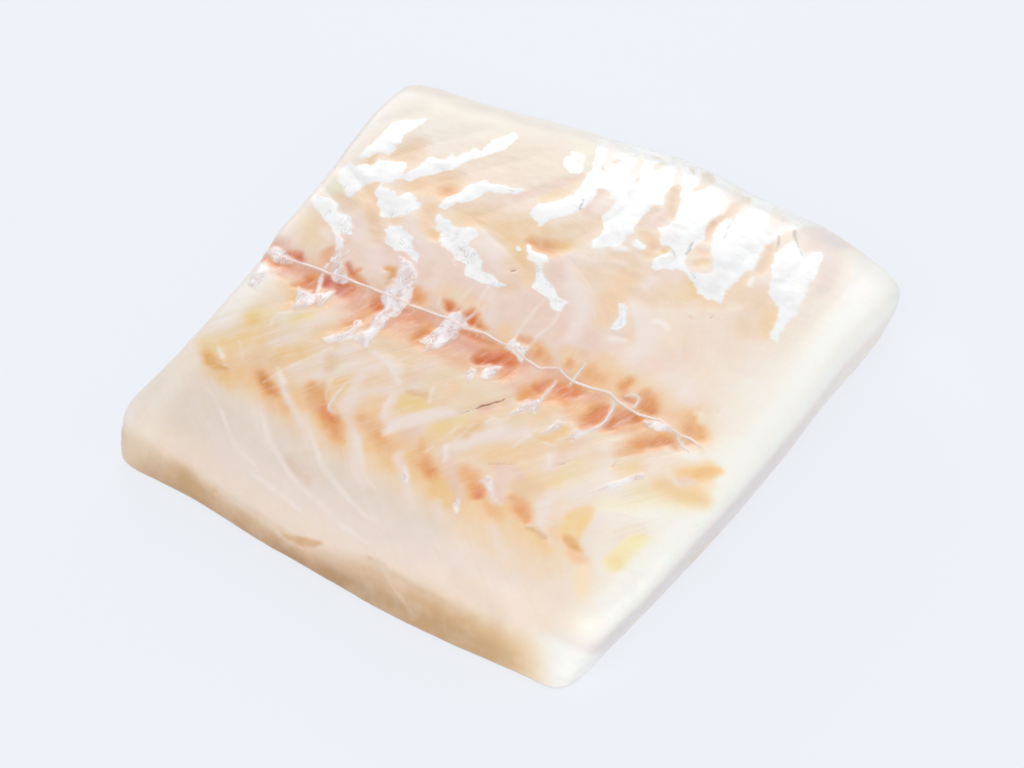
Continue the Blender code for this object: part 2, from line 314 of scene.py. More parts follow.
# Soft strokes laid one over another: colour, strength, softness of the edge in mm, (x, y, radius) points.
PAINT = (
    # back and dorsal side
    ((230, 221, 209), 0.95, 7, ((-48, 44, 11), (-20, 46, 11))), (SAND, 0.35, 6, ((-28, 36, 6), (-18, 40, 6))),
    # The first stroke on the next line is the cream tail rim, lightened close to white as painted light where the lamps
    # reach it less.
    ((255, 250, 243), 1.0, 6, ((60, 60, 9), (58, 20, 8), (56, -10, 6), (53, -34, 5), (51, -62, 5))), (IVORY, 0.8, 4, ((46, 30, 3), (46, 8, 4), (47, -6, 3))),
    ((238, 222, 208), 0.5, 3, ((46, 42, 2), (47, 30, 2), (46, 16, 2), (42, 8, 3))),
    # The last stroke on the next line, darker grey cream on the head rim from y 22 to 46, is painted shade where the
    # edge turns away from the light.
    ((231, 206, 196), 0.7, 6, ((-46, 0, 5), (-25, 0, 6), (0, 2, 7), (14, -1, 5))), ((250, 246, 242), 0.9, 4, ((-57, 14, 3), (-57, 0, 3), (-57, -20, 3), (-58, -45, 2), (-60, -60, 3))), ((236, 231, 225), 0.9, 3, ((-57, 46, 2), (-57, 22, 2.6))),
    ((237, 214, 194), 0.5, 4, ((30, 20, 4), (34, 10, 5), (30, 2, 4))), (BEIGE, 0.5, 3, ((34, 17, 2), (40, 12, 3))),
    (TAN, 0.75, 2.4, ((-44.6, 31.5, 1.6), (-44, 28, 2.6))), (PEACH, 0.7, 1.4, ((-46.4, 26.6, 1.2),)), (HONEY, 0.7, 0.8, ((-50.2, 24.0, 0.5), (-49.6, 21.6, 0.7))),
    (PEACH, 0.95, 3, ((-38, 20.5, 2.2), (-33, 23, 3.4))), (ORANGE, 0.7, 1.8, ((-31.2, 21.8, 1.3),)), (TAN, 0.5, 2, ((-33, 26.5, 1.6),)),
    (SAND, 0.95, 3, ((-27, 18, 2), (-21, 19, 3.6), (-14, 19.5, 3.4), (-4, 19, 2.6))), (HONEY, 0.4, 2.0, ((-24, 17, 1.4), (-17, 17.4, 1.6), (-9, 20.6, 1.6))),
    (BEIGE, 0.7, 2.2, ((-22, 25, 1.8), (-16, 27, 2), (-18, 34, 2.4))), (HONEY, 0.5, 1.4, ((-13.0, 30.4, 1.0), (-11.4, 34, 0.8))), (SAND, 0.7, 1.6, ((-10.6, 38, 0.8), (-10.4, 33, 1.0))),
    (SAND, 0.9, 2.6, ((-2.5, 23.5, 2.6), (-1, 28, 1.4))), (SAND, 0.8, 2.4, ((9, 21, 2.2), (16, 17, 2.6), (24, 18, 2.6))), (PINK, 0.6, 2.0, ((17, 21.4, 1.2), (22, 23.2, 1.0))),
    (SAND, 0.6, 3.0, ((6, 14, 2.2), (8.6, 19, 2.0))), (PEACH, 0.8, 2.6, ((12.6, 11, 2.0), (12.5, 16, 1.8))), (PEACH, 0.8, 2.4, ((14.2, 5, 1.4), (13.8, 8, 1.5))),
    (HONEY, 0.75, 1.8, ((24.8, 22.2, 1.2), (26, 20.2, 1.4))), (PEACH, 0.8, 1.4, ((29.2, 19.2, 1.0), (31.5, 19.6, 0.8))),
    (SAND, 0.9, 2.4, ((33.5, 24, 2.4), (38, 25.5, 2.4), (41, 22, 2.4), (40, 17, 2.4))), (HONEY, 0.6, 1.6, ((41.4, 23, 1.2), (42.4, 20, 0.8), (43.2, 17, 0.6))),
    (HONEY, 0.7, 1.8, ((-12.6, 15.4, 1.2), (-9, 14.4, 1.6), (-7, 10.5, 1.2), (-4.4, 8.4, 0.9), (-3.4, 6.6, 0.6))),
    (ORANGE, 0.95, 1.6, ((-8.4, 17.2, 0.5), (-5.8, 17.1, 1.4), (-3.0, 17.6, 1.0))), (HONEY, 0.8, 1.4, ((-2.6, 18.8, 1.4), (-2.0, 16.6, 0.8))),
    (OLIVE, 0.8, 1.8, ((-53, 13, 0.8), (-51.4, 11.2, 1.4))), (TAN, 0.6, 1.6, ((-49.5, 10, 0.7), (-46, 9, 1.3))),
    (PEACH, 0.95, 1.5, ((-45.7, 16.2, 0.8), (-44.7, 13, 1.6), (-42.6, 10.6, 1.6), (-40.6, 9.6, 0.8))), (TAN, 0.9, 1.4, ((-41, 8.4, 1.0), (-37.8, 5, 1.2), (-37, 1.6, 1))),
    (PEACH, 0.6, 1.4, ((-36.2, 8.8, 1.0), (-34.5, 10, 0.8))), (STRAW, 0.35, 2.6, ((-50.6, 1, 1.8), (-48, -2.5, 2.2))),
    (PEACH, 0.9, 1.5, ((-31.6, 16, 1.2), (-30.6, 12.6, 1.4), (-29, 9.8, 1.1))), (HONEY, 0.9, 1.1, ((-26.6, 9.4, 1.0), (-25.8, 8.4, 0.5))),
    (LILAC, 0.6, 1.6, ((-44, 4, 1), (-38, 1.5, 1.1), (-34, -2, 1.2), (-31, -5, 1.0))), (LILAC, 0.55, 1.6, ((-33, 10.6, 0.8), (-28, 6, 1.2), (-23, 1.5, 1.2), (-19, -3, 1.0))),
    (LILAC, 0.8, 1.4, ((-18.5, 14.6, 0.9), (-15, 11.8, 1.3), (-11, 8.2, 1.2), (-7.6, 5.6, 0.8))), (LILAC, 0.5, 1.4, ((-9, 2, 0.6), (-6.4, -3, 1.2), (-4.4, -7, 0.8))),
    (LILAC, 0.9, 1.5, ((-0.6, 16.6, 0.8), (0.6, 13.6, 1.2), (3, 10.8, 1.4), (7, 8.4, 1.4), (9.8, 5, 1.3), (11.2, 1, 1.2), (11.8, -3, 0.9))),
    (LILAC, 0.6, 1.3, ((0, 16.4, 0.5), (4, 18, 0.7), (10, 20.2, 0.6))), (TAN, 0.5, 2, ((-9, 9, 1.2), (-6, 4, 1.2))), (PINK, 0.6, 1.2, ((-1.2, 12, 0.5), (0.4, 9.4, 0.8))),
    (LILAC, 0.75, 1.6, ((16.8, 19.4, 0.8), (17.4, 15, 1.1), (18.2, 12, 0.9))), (TAN, 0.5, 1.8, ((16, 14, 1), (20.4, 13, 1))),
    (LILAC, 0.95, 1.8, ((19.6, 10.4, 1.1), (22.4, 7.6, 1.8), (24.2, 4, 1.7), (25, 0, 1.4), (25.2, -4, 0.9))), (LILAC, 0.6, 2.4, ((30, 1, 1.2), (35, -3, 2.4), (39, -5, 1.6))),
    (PINK, 0.5, 2, ((28, -3, 1.6), (32, 5, 1))), (MILK, 0.6, 0.5, ((23.2, 9.4, 0.3), (24.8, 9.9, 0.4), (26.2, 9.0, 0.2))),
    (LILAC, 0.5, 0.8, ((36.4, 8.4, 0.3), (37.2, 6, 0.5), (38, 4.2, 0.2))), (LILAC, 0.45, 0.6, ((31, 4.6, 0.2), (32, 2.4, 0.3))),
    (TAN, 0.4, 1.2, ((19.6, 6.6, 0.6), (21, 2.4, 1.0))), (MILK, 0.5, 0.8, ((18.4, 0.6, 0.5), (20.8, 1.2, 0.3))), (GREY, 0.45, 0.5, ((17.6, 2.8, 0.3), (19.6, 2.2, 0.4))),
    # The first stroke on the next line, grey at the back edge, is painted shade in a fold there.
    ((222, 216, 215), 0.85, 2.6, ((32, 59, 2.2), (37, 55, 2.2), (42, 51, 1.6))), ((250, 246, 241), 0.85, 2.6, ((48, 50, 2.0), (51, 45, 2.4), (54, 38, 2.0))),
    # red band along the backbone
    (TAN, 0.55, 4.0, ((-46, -12, 3), (-20, -13, 4), (6, -14, 4), (30, -13, 4), (40, -14, 2))), (ROSE, 0.8, 2.2, ((-52, -11, 1.8), (-44, -11.6, 2.2), (-30, -12.4, 2.6), (-14, -12.4, 2.6), (0, -12.4, 2.2), (9, -13, 2.0), (18, -13, 1.6))), ((226, 178, 146), 0.6, 2.2, ((-42, -17, 1.2), (-33, -18, 1.6), (-18, -18, 1.8), (-4, -18, 1.4), (8, -18, 1.4), (22, -18.6, 1.6), (34, -17, 1.6))),
    ((236, 178, 126), 0.72, 2.6, ((10, -16, 2.0), (18, -16, 3.0), (26, -16, 3.4), (32, -14, 2.4))), ((239, 194, 150), 0.55, 2.4, ((15, -8.4, 0.7), (22, -8.8, 1.1), (31, -9.6, 1.6), (41, -11, 1.4))),
    (PEACH, 0.75, 2.4, ((-44, -16, 1.6), (-31, -18, 2), (-17, -17, 2.4))), (ROSE, 0.5, 2, ((-33, -15, 1.4), (-20, -15.6, 1.8), (-6, -14, 1.6), (8, -14.6, 1.2))),
    (PEACH, 0.65, 2.2, ((-9, -4, 1), (-15, -4, 1.4))), (PEACH, 0.7, 2.4, ((20, -6, 2.4), (25, -8, 2), (33, -8, 2))), (PEACH, 0.6, 3, ((41, -8, 2.4), (44, -14, 2))),
    (RED, 0.6, 0.9, ((-50.4, -8.6, 0.3), (-48.4, -8.4, 0.6), (-46.6, -8.6, 0.2))), (ROSE, 0.7, 1.4, ((-53.8, -7.4, 0.9), (-52, -7, 0.6))),
    (CORAL, 0.75, 1.0, ((-54, -11.8, 0.4), (-51.6, -12.4, 0.6), (-48, -12.2, 0.7), (-45.6, -12, 0.2))), (ROSE, 0.7, 1.6, ((-48, -13.6, 1.0), (-45, -12, 1.0))),
    (CORAL, 0.5, 1.2, ((-43.4, -3.4, 0.4), (-42.4, -5.6, 1.0), (-41.6, -7.2, 0.4))),
    (ORANGE, 1.0, 1.0, ((-42.4, -11.8, 0.8), (-41.2, -13.4, 1.1), (-43.2, -15.4, 0.6))), (RED, 0.75, 0.8, ((-39.4, -10.8, 0.5), (-38.4, -12, 1.0))), (CORAL, 0.85, 0.5, ((-40.6, -12.6, 0.2), (-39.2, -15.6, 0.25))),
    (RED, 0.7, 0.6, ((-37.6, -5.6, 0.3), (-36.4, -7, 0.4), (-35.6, -7.6, 0.3))), (CORAL, 0.7, 0.6, ((-34.6, -6.2, 0.2), (-35.4, -7.4, 0.3))), (CORAL, 0.8, 0.7, ((-35.4, -8, 0.3), (-33, -8.2, 0.5), (-31.6, -8.6, 0.15))),
    (CORAL, 0.95, 1.5, ((-35.2, -11.2, 1.0), (-33.6, -12.2, 1.7))), (RED, 0.5, 1.0, ((-34.2, -12, 0.9),)), (ROSE, 0.8, 1.8, ((-31.6, -12, 1.2), (-30.6, -14.6, 0.8))), (PINK, 0.7, 1.2, ((-33, -16.6, 1.2), (-30.6, -18.6, 1.0))),
    (AMBER, 0.9, 0.6, ((-29.6, -3.2, 0.4), (-28.2, -3.2, 0.5), (-27.6, -4.4, 0.3))), (BROWN, 0.7, 0.6, ((-28.6, -3.6, 0.3), (-27.9, -5.6, 0.5), (-28.2, -7, 0.2))),
    (CORAL, 0.95, 1.1, ((-27.8, -11.2, 0.7), (-26.4, -12.4, 1.1))), (ORANGE, 0.85, 1.4, ((-27.6, -14, 0.9), (-27, -16.6, 0.9), (-28.4, -19.6, 0.8), (-29.6, -22.4, 0.4))), (CORAL, 0.5, 1.0, ((-24.6, -19, 0.5),)),
    (RED, 0.7, 0.4, ((-25.8, -6.4, 0.2), (-25.2, -7.2, 0.25))), (ORANGE, 0.95, 1.4, ((-21.8, -6.4, 0.7), (-20.4, -7.6, 1.3))), (CORAL, 0.5, 0.9, ((-21.4, -8.2, 0.6),)),
    (RED, 0.9, 0.7, ((-21.4, -11.4, 0.6), (-20.2, -10.8, 0.3))), (CORAL, 0.55, 1.6, ((-20, -12.6, 1.3), (-17.6, -12.2, 0.9))), (ROSE, 0.6, 1.2, ((-21.6, -15.6, 1.0),)),
    (OLIVE, 0.6, 1.4, ((-13.8, -3.4, 1.0),)), (CORAL, 0.9, 0.9, ((-14.6, -6, 0.4), (-13.2, -6.6, 0.7), (-12.6, -6.2, 0.3))), (RED, 0.5, 0.5, ((-12.9, -6.6, 0.4),)),
    (ORANGE, 1.0, 1.0, ((-9.2, -6.2, 0.6), (-7.6, -7.4, 1.0), (-5.4, -8.2, 0.4))), (RED, 0.55, 0.6, ((-9.0, -6.8, 0.4), (-8, -7.6, 0.3))),
    (CORAL, 0.7, 1.1, ((-7.8, -11, 0.7), (-5, -11.2, 0.7), (-1.6, -10.8, 0.4))), (ROSE, 0.8, 1.2, ((-8, -12.6, 0.8), (-5.6, -14.6, 0.8))),
    (ORANGE, 0.85, 1.2, ((-14.8, -12.4, 0.5), (-14, -14.4, 0.9), (-14.6, -17.4, 0.7))),
    (PEACH, 0.85, 1.4, ((-1, -6.6, 1.0), (0, -8.6, 0.9))), (CORAL, 0.6, 0.8, ((2.8, -7.2, 0.4), (4.2, -7.2, 0.6))),
    (ORANGE, 1.0, 1.2, ((-1.2, -15.6, 0.9), (-0.2, -13.2, 1.5), (2, -12, 1.5), (3.8, -12.8, 1.3), (4.6, -15.4, 1.2), (5.4, -18, 0.8))), (CORAL, 0.85, 0.9, ((-0.4, -14.8, 0.7), (0.8, -13, 0.8), (2, -14.6, 0.8))),
    (ORANGE, 0.7, 1.4, ((6.4, -7.4, 0.5), (7.6, -9, 1.1), (9.4, -9.8, 0.6))), (CORAL, 0.3, 0.8, ((7.4, -9.4, 0.6),)), (PINK, 0.7, 1.6, ((9.6, -13.2, 1.2), (9, -17, 1.4), (7.6, -20, 1.2))),
    (PEACH, 0.9, 1.3, ((13, -6, 0.9), (13.4, -8, 0.8))), (CORAL, 0.45, 0.6, ((13.8, -7.6, 0.2), (14.2, -9, 0.4))), (TAN, 0.6, 1, ((15.4, -5, 0.8),)),
    (ORANGE, 0.95, 1.3, ((12.8, -14.4, 0.6), (12.4, -16.2, 0.9), (11.2, -18.4, 0.9), (10.8, -20.6, 0.6))), (CORAL, 0.5, 0.7, ((12.2, -16.6, 0.6),)),
    (ORANGE, 0.95, 1.5, ((15, -14, 0.6), (17, -14.2, 1.4), (19.6, -13.8, 0.8), (17.4, -16.8, 1.3), (15.6, -18, 0.5))), (CORAL, 0.8, 1.3, ((15.4, -15.6, 0.7), (17.4, -14.4, 0.8), (20, -13.4, 0.4))),
    (ORANGE, 0.55, 1.8, ((18.4, -8.4, 1.2), (20.4, -9.2, 1.2))), (ROSE, 0.8, 1.2, ((21, -14.4, 0.8), (23, -12.8, 0.7))),
    (ORANGE, 0.95, 1.3, ((25.6, -14.6, 0.5), (24.8, -16.4, 1.1), (24, -19.4, 1.1), (24.2, -21.6, 0.5))), (CORAL, 0.85, 1.1, ((25.4, -15.2, 0.4), (25, -17.4, 0.7))), (PEACH, 0.7, 1.2, ((22, -17.6, 0.8), (20.8, -19.6, 0.8))),
    (ORANGE, 0.85, 1.1, ((26.4, -6.8, 0.6), (26.2, -8.8, 0.7))), (CORAL, 0.8, 0.7, ((27.6, -10.4, 0.5), (29.4, -10.8, 0.4))),
    (ORANGE, 1.0, 1.4, ((30.8, -8.4, 0.8), (31.8, -9.8, 1.4), (33.6, -11, 0.9))), (CORAL, 0.6, 0.8, ((31.4, -10.8, 0.8),)),
    (ORANGE, 0.95, 1.5, ((28, -15, 0.9), (30.4, -14.6, 1.4), (32.6, -14.2, 0.8), (29.2, -17.2, 1.2), (27.8, -19.6, 0.6))), (CORAL, 0.85, 1.3, ((28.2, -14.8, 0.6), (31, -14.2, 0.8), (29.4, -16.4, 0.8))),
    ((233, 150, 78), 0.97, 1.6, ((39.6, -16.2, 1.2), (38.2, -17.8, 1.6), (36, -20, 1.4), (33.4, -23.2, 0.8))), (CORAL, 0.5, 0.8, ((40.6, -16.8, 0.7), (41.8, -17.6, 0.4))),
    ((226, 144, 100), 1.0, 0.9, ((-1.6, -16, 0.9), (-0.8, -13.6, 1.2), (1.6, -12.6, 1.2), (3.8, -13.2, 1.2), (4.8, -16, 0.9))), ((212, 118, 62), 1.0, 0.9, ((-1.6, -15.8, 0.8), (-0.6, -13.8, 1.2), (2.0, -13.2, 1.0), (3.8, -13.6, 0.8))), ((206, 108, 52), 0.8, 0.8, ((-1.4, -16.2, 0.6), (-0.2, -15.2, 0.9), (1.2, -14.4, 0.7))), (EMBER, 0.85, 0.8, ((12.8, -14.6, 0.5), (12.2, -16.6, 0.7))),
    (EMBER, 0.9, 1.3, ((15.2, -14.4, 0.5), (17, -14.2, 1.0), (18.6, -14.4, 0.5))), (EMBER, 0.95, 1.3, ((25.4, -14.8, 0.6), (24.8, -16.8, 0.8), (24.4, -18.6, 0.4))), (EMBER, 0.9, 1.3, ((31.6, -14.2, 0.6), (30, -14.8, 0.9), (28.6, -16.8, 0.7), (28.2, -18.6, 0.3))),
    (EMBER, 0.95, 0.8, ((-9.2, -6.4, 0.5), (-8.0, -7.6, 0.8), (-6.6, -8.2, 0.3))), (EMBER, 0.9, 0.9, ((-35.4, -11.0, 0.6), (-34.0, -12.2, 1.1))), (RED, 0.8, 0.6, ((-38.6, -11.8, 0.8),)), ((199, 100, 74), 0.9, 1.0, ((-36.4, -11.2, 0.6), (-35.2, -12.4, 0.9))), ((212, 130, 72), 0.85, 0.9, ((-41.8, -13.2, 0.6), (-41.4, -14.2, 0.7))), (EMBER, 0.8, 0.8, ((-42.4, -12.6, 0.6), (-41.2, -14.2, 0.5))),
    (EMBER, 0.7, 0.7, ((-53.4, -12.2, 0.4), (-50.4, -12.6, 0.4))), (EMBER, 0.7, 0.8, ((-14, -6.2, 0.4), (-12.9, -6.6, 0.4))), (EMBER, 0.7, 0.8, ((-27.6, -11.6, 0.5), (-26.4, -12.6, 0.6))), (EMBER, 0.6, 0.9, ((31.6, -10.2, 0.7), (33.4, -11, 0.5))), ((231, 152, 82), 0.75, 1.1, ((30.2, -9.2, 0.7), (31.4, -10.2, 1.0))), ((224, 132, 84), 0.85, 1.5, ((26.4, -15.0, 0.4), (25.8, -17.4, 1.0), (24.8, -19.6, 0.8))),
    (RED, 0.7, 0.6, ((-47.6, -8.6, 0.4), (-46.6, -9.0, 0.3))), (CORAL, 0.7, 0.8, ((-14.6, -14.4, 0.4), (-14.6, -16.4, 0.5))), (CORAL, 0.6, 0.9, ((39.4, -16.8, 0.6), (37.4, -18.6, 0.7))), ((236, 170, 116), 0.5, 1.2, ((41.6, -10.4, 0.7), (43.0, -11.8, 0.9))),
    (TAN, 0.6, 1.0, ((35, -22, 0.7), (32, -24.6, 0.6), (30, -26.4, 0.5))),
    ((240, 172, 102), 0.95, 1.7, ((41, -9.4, 0.9), (42.2, -11.4, 1.7), (44.8, -12.8, 0.9))), (CORAL, 0.35, 0.8, ((41.6, -11.6, 0.6), (43.6, -15.4, 0.7), (42.2, -14.8, 0.4))),
    (MILK, 0.55, 0.7, ((41, -7.8, 0.3), (42.6, -7.6, 0.6), (43.4, -9.2, 0.5))), (MILK, 0.7, 0.8, ((44.6, -18.4, 0.6), (46.6, -17.4, 0.6))),
    ((228, 196, 180), 0.45, 2.2, ((-1.6, 14.6, 0.8), (0.2, 12.2, 1.4), (1.6, 10.2, 0.8))),
    ((248, 240, 236), 0.45, 2.0, ((48.6, 4, 1.4), (50.6, 0, 1.6), (50, -5, 1.2))), ((244, 228, 226), 0.55, 1.6, ((36.6, -4.2, 0.8), (38.8, -5.4, 1.0))), ((244, 230, 220), 0.6, 1.6, ((-46, -0.6, 0.6), (-44, -2.2, 0.8))), ((246, 236, 230), 0.5, 1.6, ((3.2, 22.4, 0.7), (4.8, 21.4, 0.8))), ((222, 190, 168), 0.5, 1.4, ((-22.8, 1.6, 0.6), (-21.6, -1.4, 0.6))),
    # ventral flakes
    ((235, 214, 188), 0.85, 4, ((-50, -24, 3), (-40, -28, 4), (-14, -27, 5), (10, -28, 4), (26, -28, 4))), ((237, 205, 160), 0.5, 3.4, ((-44, -31, 2), (-28, -33, 2.4), (-12, -34.4, 2.6), (12, -35, 2.6), (26, -38, 2.4))),
    ((249, 243, 237), 1.0, 3.0, ((-53, -15, 2), (-51, -21, 3.2), (-52, -28, 2.4))), (IVORY, 0.85, 4, ((36, -30, 3), (46, -33, 4), (40, -37, 3))), (CREAM, 0.9, 2.2, ((38, -36, 1.2), (46, -33, 2), (50, -32, 2))),
    (STRAW, 0.9, 1.6, ((-44.6, -25.2, 0.9), (-46, -27, 1.4))), (AMBER, 0.3, 1.2, ((-46, -27.4, 0.9),)), (OLIVE, 0.9, 1.4, ((-42.6, -23.8, 0.8), (-39.6, -24.6, 1.0))), (STRAW, 0.85, 1.2, ((-36.4, -22, 0.9), (-38, -24.6, 0.9))),
    (HONEY, 0.8, 1.0, ((-42.8, -17.6, 0.4), (-42, -19.4, 0.7))), (PEACH, 0.9, 1.2, ((-42.2, -21.6, 0.9),)),
    (PEACH, 0.7, 1.8, ((-33, -24.6, 1.0), (-31, -22.6, 1.0))), (LILAC, 0.7, 1.6, ((-33, -20, 1.2), (-36, -26, 1.2), (-39, -30, 1.4))), (HONEY, 0.7, 1.8, ((-34, -30.6, 1.2), (-36, -32.6, 1.0))),
    (LILAC, 0.75, 1.3, ((-25.4, -26.8, 1.2), (-29, -31, 1.2), (-32, -34.4, 1.0))), (LILAC, 0.85, 1.3, ((-18, -27, 1.0), (-22, -28.4, 1.2), (-27, -34, 1.3), (-31.2, -37.4, 0.9))),
    (LILAC, 0.8, 1.0, ((-20, -24.4, 0.7), (-16, -24.2, 0.9), (-13.6, -26.4, 0.8), (-12.4, -28.4, 0.5))), (PINK, 0.6, 1.4, ((-9, -22, 1.0), (-10, -26, 1.0))), (LILAC, 0.75, 1.2, ((-8, -27, 0.6), (-10, -29.6, 0.8), (-14, -31, 0.8), (-17, -34, 1.0), (-19.6, -37, 1.0))),
    (TAN, 0.5, 1.6, ((-20.4, -21.6, 1.0), (-13.6, -21.6, 1.0))), (LILAC, 0.7, 1.4, ((-22.6, -24.0, 0.6), (-25.0, -26.2, 0.9))), (LILAC, 0.6, 1.4, ((33.0, -22.4, 0.5), (31.0, -24.6, 0.8))), (HONEY, 0.8, 1.2, ((-21.4, -33.4, 0.9), (-20.6, -35.2, 0.6))), (OLIVE, 0.6, 1.6, ((-23.6, -30.4, 0.9),)),
    ((236, 213, 164), 0.85, 1.8, ((-8.6, -31.6, 1.3), (-5.6, -31, 1.5), (-4.2, -32.6, 0.9))), (PEACH, 0.9, 2.0, ((-13.4, -35.4, 1.6), (-10.4, -37, 1.6))), (BROWN, 0.4, 1.0, ((-9, -29.2, 0.3), (-6, -28.6, 0.4))),
    (PEACH, 0.6, 1.6, ((-2.6, -24.6, 1.2), (-2.4, -27.4, 0.7))), (LILAC, 0.95, 1.1, ((1.6, -29.8, 0.4), (-1.6, -31.6, 1.2), (-4.4, -34, 0.9), (-7.4, -36.4, 1.0), (-9, -39, 0.4))), (PINK, 0.85, 1.2, ((-3.8, -36.2, 1.4), (-4.4, -39.4, 1.4), (-3.2, -41.8, 0.9))),
    (STRAW, 0.6, 1.8, ((3.6, -31.6, 1.2), (1, -34.4, 1.6))), (PEACH, 0.6, 1.6, ((1, -36.6, 1.2),)), (LILAC, 0.8, 1.3, ((12, -28.6, 1.0), (9.6, -32, 1.3), (6, -35.6, 1.2), (4.6, -38.4, 1.0))),
    (PINK, 0.9, 1.2, ((5.8, -41.2, 1.2), (8.2, -43, 1.1), (10.2, -44.4, 0.6))), (PEACH, 0.7, 1.6, ((8.6, -24, 0.9), (6.4, -27.6, 0.9), (6, -31, 0.7))), (ROSE, 0.5, 0.9, ((6.8, -25.8, 0.7), (5.6, -27, 0.4))),
    (LILAC, 0.8, 1.2, ((16, -25, 0.9), (15, -29.6, 1.4), (11.6, -31, 0.9))), (PEACH, 0.8, 1.4, ((17, -20, 1.2), (15.6, -24.6, 0.8))), (HONEY, 0.9, 0.9, ((21.6, -24, 0.7), (20.4, -27, 0.7), (19, -27.8, 0.4))),
    (PEACH, 0.7, 2.0, ((13, -35, 1.4), (17, -32, 1.4), (20, -30.6, 1.2))), (PINK, 0.85, 0.9, ((15.4, -36.8, 0.6), (18, -35.8, 0.8), (20, -37.4, 0.7))), (PINK, 0.8, 1.2, ((25.6, -26, 1.0), (24.6, -29.6, 1.0), (23, -32.6, 0.8))),
    (STRAW, 0.4, 1.8, ((28.6, -30, 1.4), (26.6, -36, 1.2))), (LILAC, 0.8, 1.2, ((22.6, -30.6, 0.6), (23.4, -33.2, 0.5))), (LILAC, 0.8, 1.6, ((33, -34, 1.0), (28, -37.6, 1.3), (26.4, -41, 1.0), (28, -44, 0.8))),
    (HONEY, 0.6, 1.8, ((37.6, -25.6, 1.2), (36, -27.4, 1.0))), (STRAW, 0.45, 3, ((42, -30, 1.6), (45, -28.4, 2.2), (49, -27, 2.0))), (STRAW, 0.3, 2, ((41, -34, 1.4), (37, -36.4, 1.0))),
    ((247, 199, 138), 0.85, 1.8, ((50.0, -19.0, 1.0), (48.0, -21.2, 1.0), (46, -22.6, 0.7))), ((246, 188, 114), 0.75, 1.1, ((51.4, -18.6, 0.4), (50.0, -20.2, 0.9), (49.0, -22.0, 0.8))), ((246, 208, 160), 0.6, 1.6, ((51.4, -22.4, 0.8), (50.4, -24.4, 0.9))), (PINK, 0.8, 0.9, ((46.6, -24.6, 0.9), (48.8, -23.4, 0.6))), (HONEY, 0.8, 1.8, ((44, -26.6, 1.0), (48, -26.8, 1.4), (52, -26, 1.2))),
    # where the muscle blocks turn into the belly flap
    ((236, 194, 144), 0.45, 1.8, ((-41, -37.6, 0.6), (-28, -39.8, 0.8), (-14, -41.8, 0.8), (0, -42.4, 0.8), (14, -44.0, 0.8), (24, -44.8, 0.7), (33, -46.2, 0.4))),
    ((238, 203, 160), 0.8, 3.0, ((-47, -38, 2.0), (-34, -39.4, 2.4), (-18, -41.4, 2.6), (0, -43, 2.8), (16, -44.8, 2.8), (30, -46.4, 2.2))), ((238, 210, 174), 0.55, 3.6, ((-26, -45.4, 2), (-6, -47.6, 2), (14, -49, 2.4), (34, -50, 2.4))),
    ((238, 214, 170), 0.85, 1.8, ((-51.4, -36.0, 0.9), (-49.0, -35.2, 1.8), (-46.4, -33.6, 1.8), (-44.4, -31.4, 0.9))), ((226, 172, 104), 0.9, 0.9, ((-50.6, -37.8, 0.5), (-49, -38.5, 0.8), (-46.6, -38.9, 0.8), (-44.6, -39, 0.3))), (HONEY, 0.8, 1.4, ((-46, -40.4, 0.8), (-42.6, -41.2, 1.0))),
    ((232, 184, 140), 0.9, 1.3, ((-38.6, -37, 0.9), (-36.8, -37.2, 0.9))), (ORANGE, 0.85, 1.2, ((-35.8, -38.8, 0.6), (-33.4, -39.6, 0.9), (-31.4, -40.6, 0.7))), (CORAL, 0.3, 0.9, ((-34.2, -38.8, 0.5), (-32.6, -39, 0.5))), ((208, 140, 72), 0.8, 0.9, ((-37.8, -37.2, 0.4), (-36.3, -38.2, 0.7), (-35.0, -39.0, 0.3))), (PEACH, 0.9, 1.8, ((-31.6, -42, 1.1), (-28, -42.6, 1.5), (-24.6, -44.4, 1.2))), (ORANGE, 0.4, 1.4, ((-29, -41.8, 0.8),)),
    (LILAC, 0.75, 1.1, ((-19.6, -30.4, 0.8), (-18.8, -34.4, 1.1), (-18.0, -37.6, 0.9), (-15.4, -40.4, 0.7), (-12.4, -43.4, 0.7))), (LILAC, 0.8, 0.8, ((-11.4, -31.6, 0.7), (-10.6, -35.4, 0.9), (-8.8, -38.8, 0.5))),
    ((243, 230, 223), 0.95, 0.8, ((0.6, -30.4, 0.5), (-2.2, -32.6, 1.1), (-5.4, -35.2, 1.0), (-8.0, -37.6, 0.8), (-9.2, -39.2, 0.3))), ((243, 230, 223), 0.9, 0.8, ((11.0, -29.6, 0.8), (8.0, -33.2, 1.0), (5.4, -36.4, 0.9), (4.4, -38.2, 0.5))),
    (LILAC, 0.85, 0.8, ((-33.2, -37.2, 0.5), (-30.6, -39.4, 0.6), (-27.0, -41.8, 0.6), (-24.0, -44.6, 0.6))), (PINK, 0.75, 1.1, ((5.0, -38.8, 0.9), (7.4, -41.6, 1.1), (9.8, -44.0, 0.9), (12.0, -46.6, 0.6))),
    (PINK, 0.75, 1.1, ((15.2, -36.8, 0.6), (17.2, -38.4, 1.2), (17.0, -41.0, 1.3), (18.6, -43.2, 0.9))), (LILAC, 0.8, 0.7, ((14.0, -40.4, 0.5), (16.4, -41.8, 0.6), (18.0, -44.0, 0.4))), (LILAC, 0.85, 0.9, ((26.4, -38.4, 0.9), (27.4, -42.2, 1.0), (29.4, -45.4, 0.6), (32.4, -47.6, 0.3))),
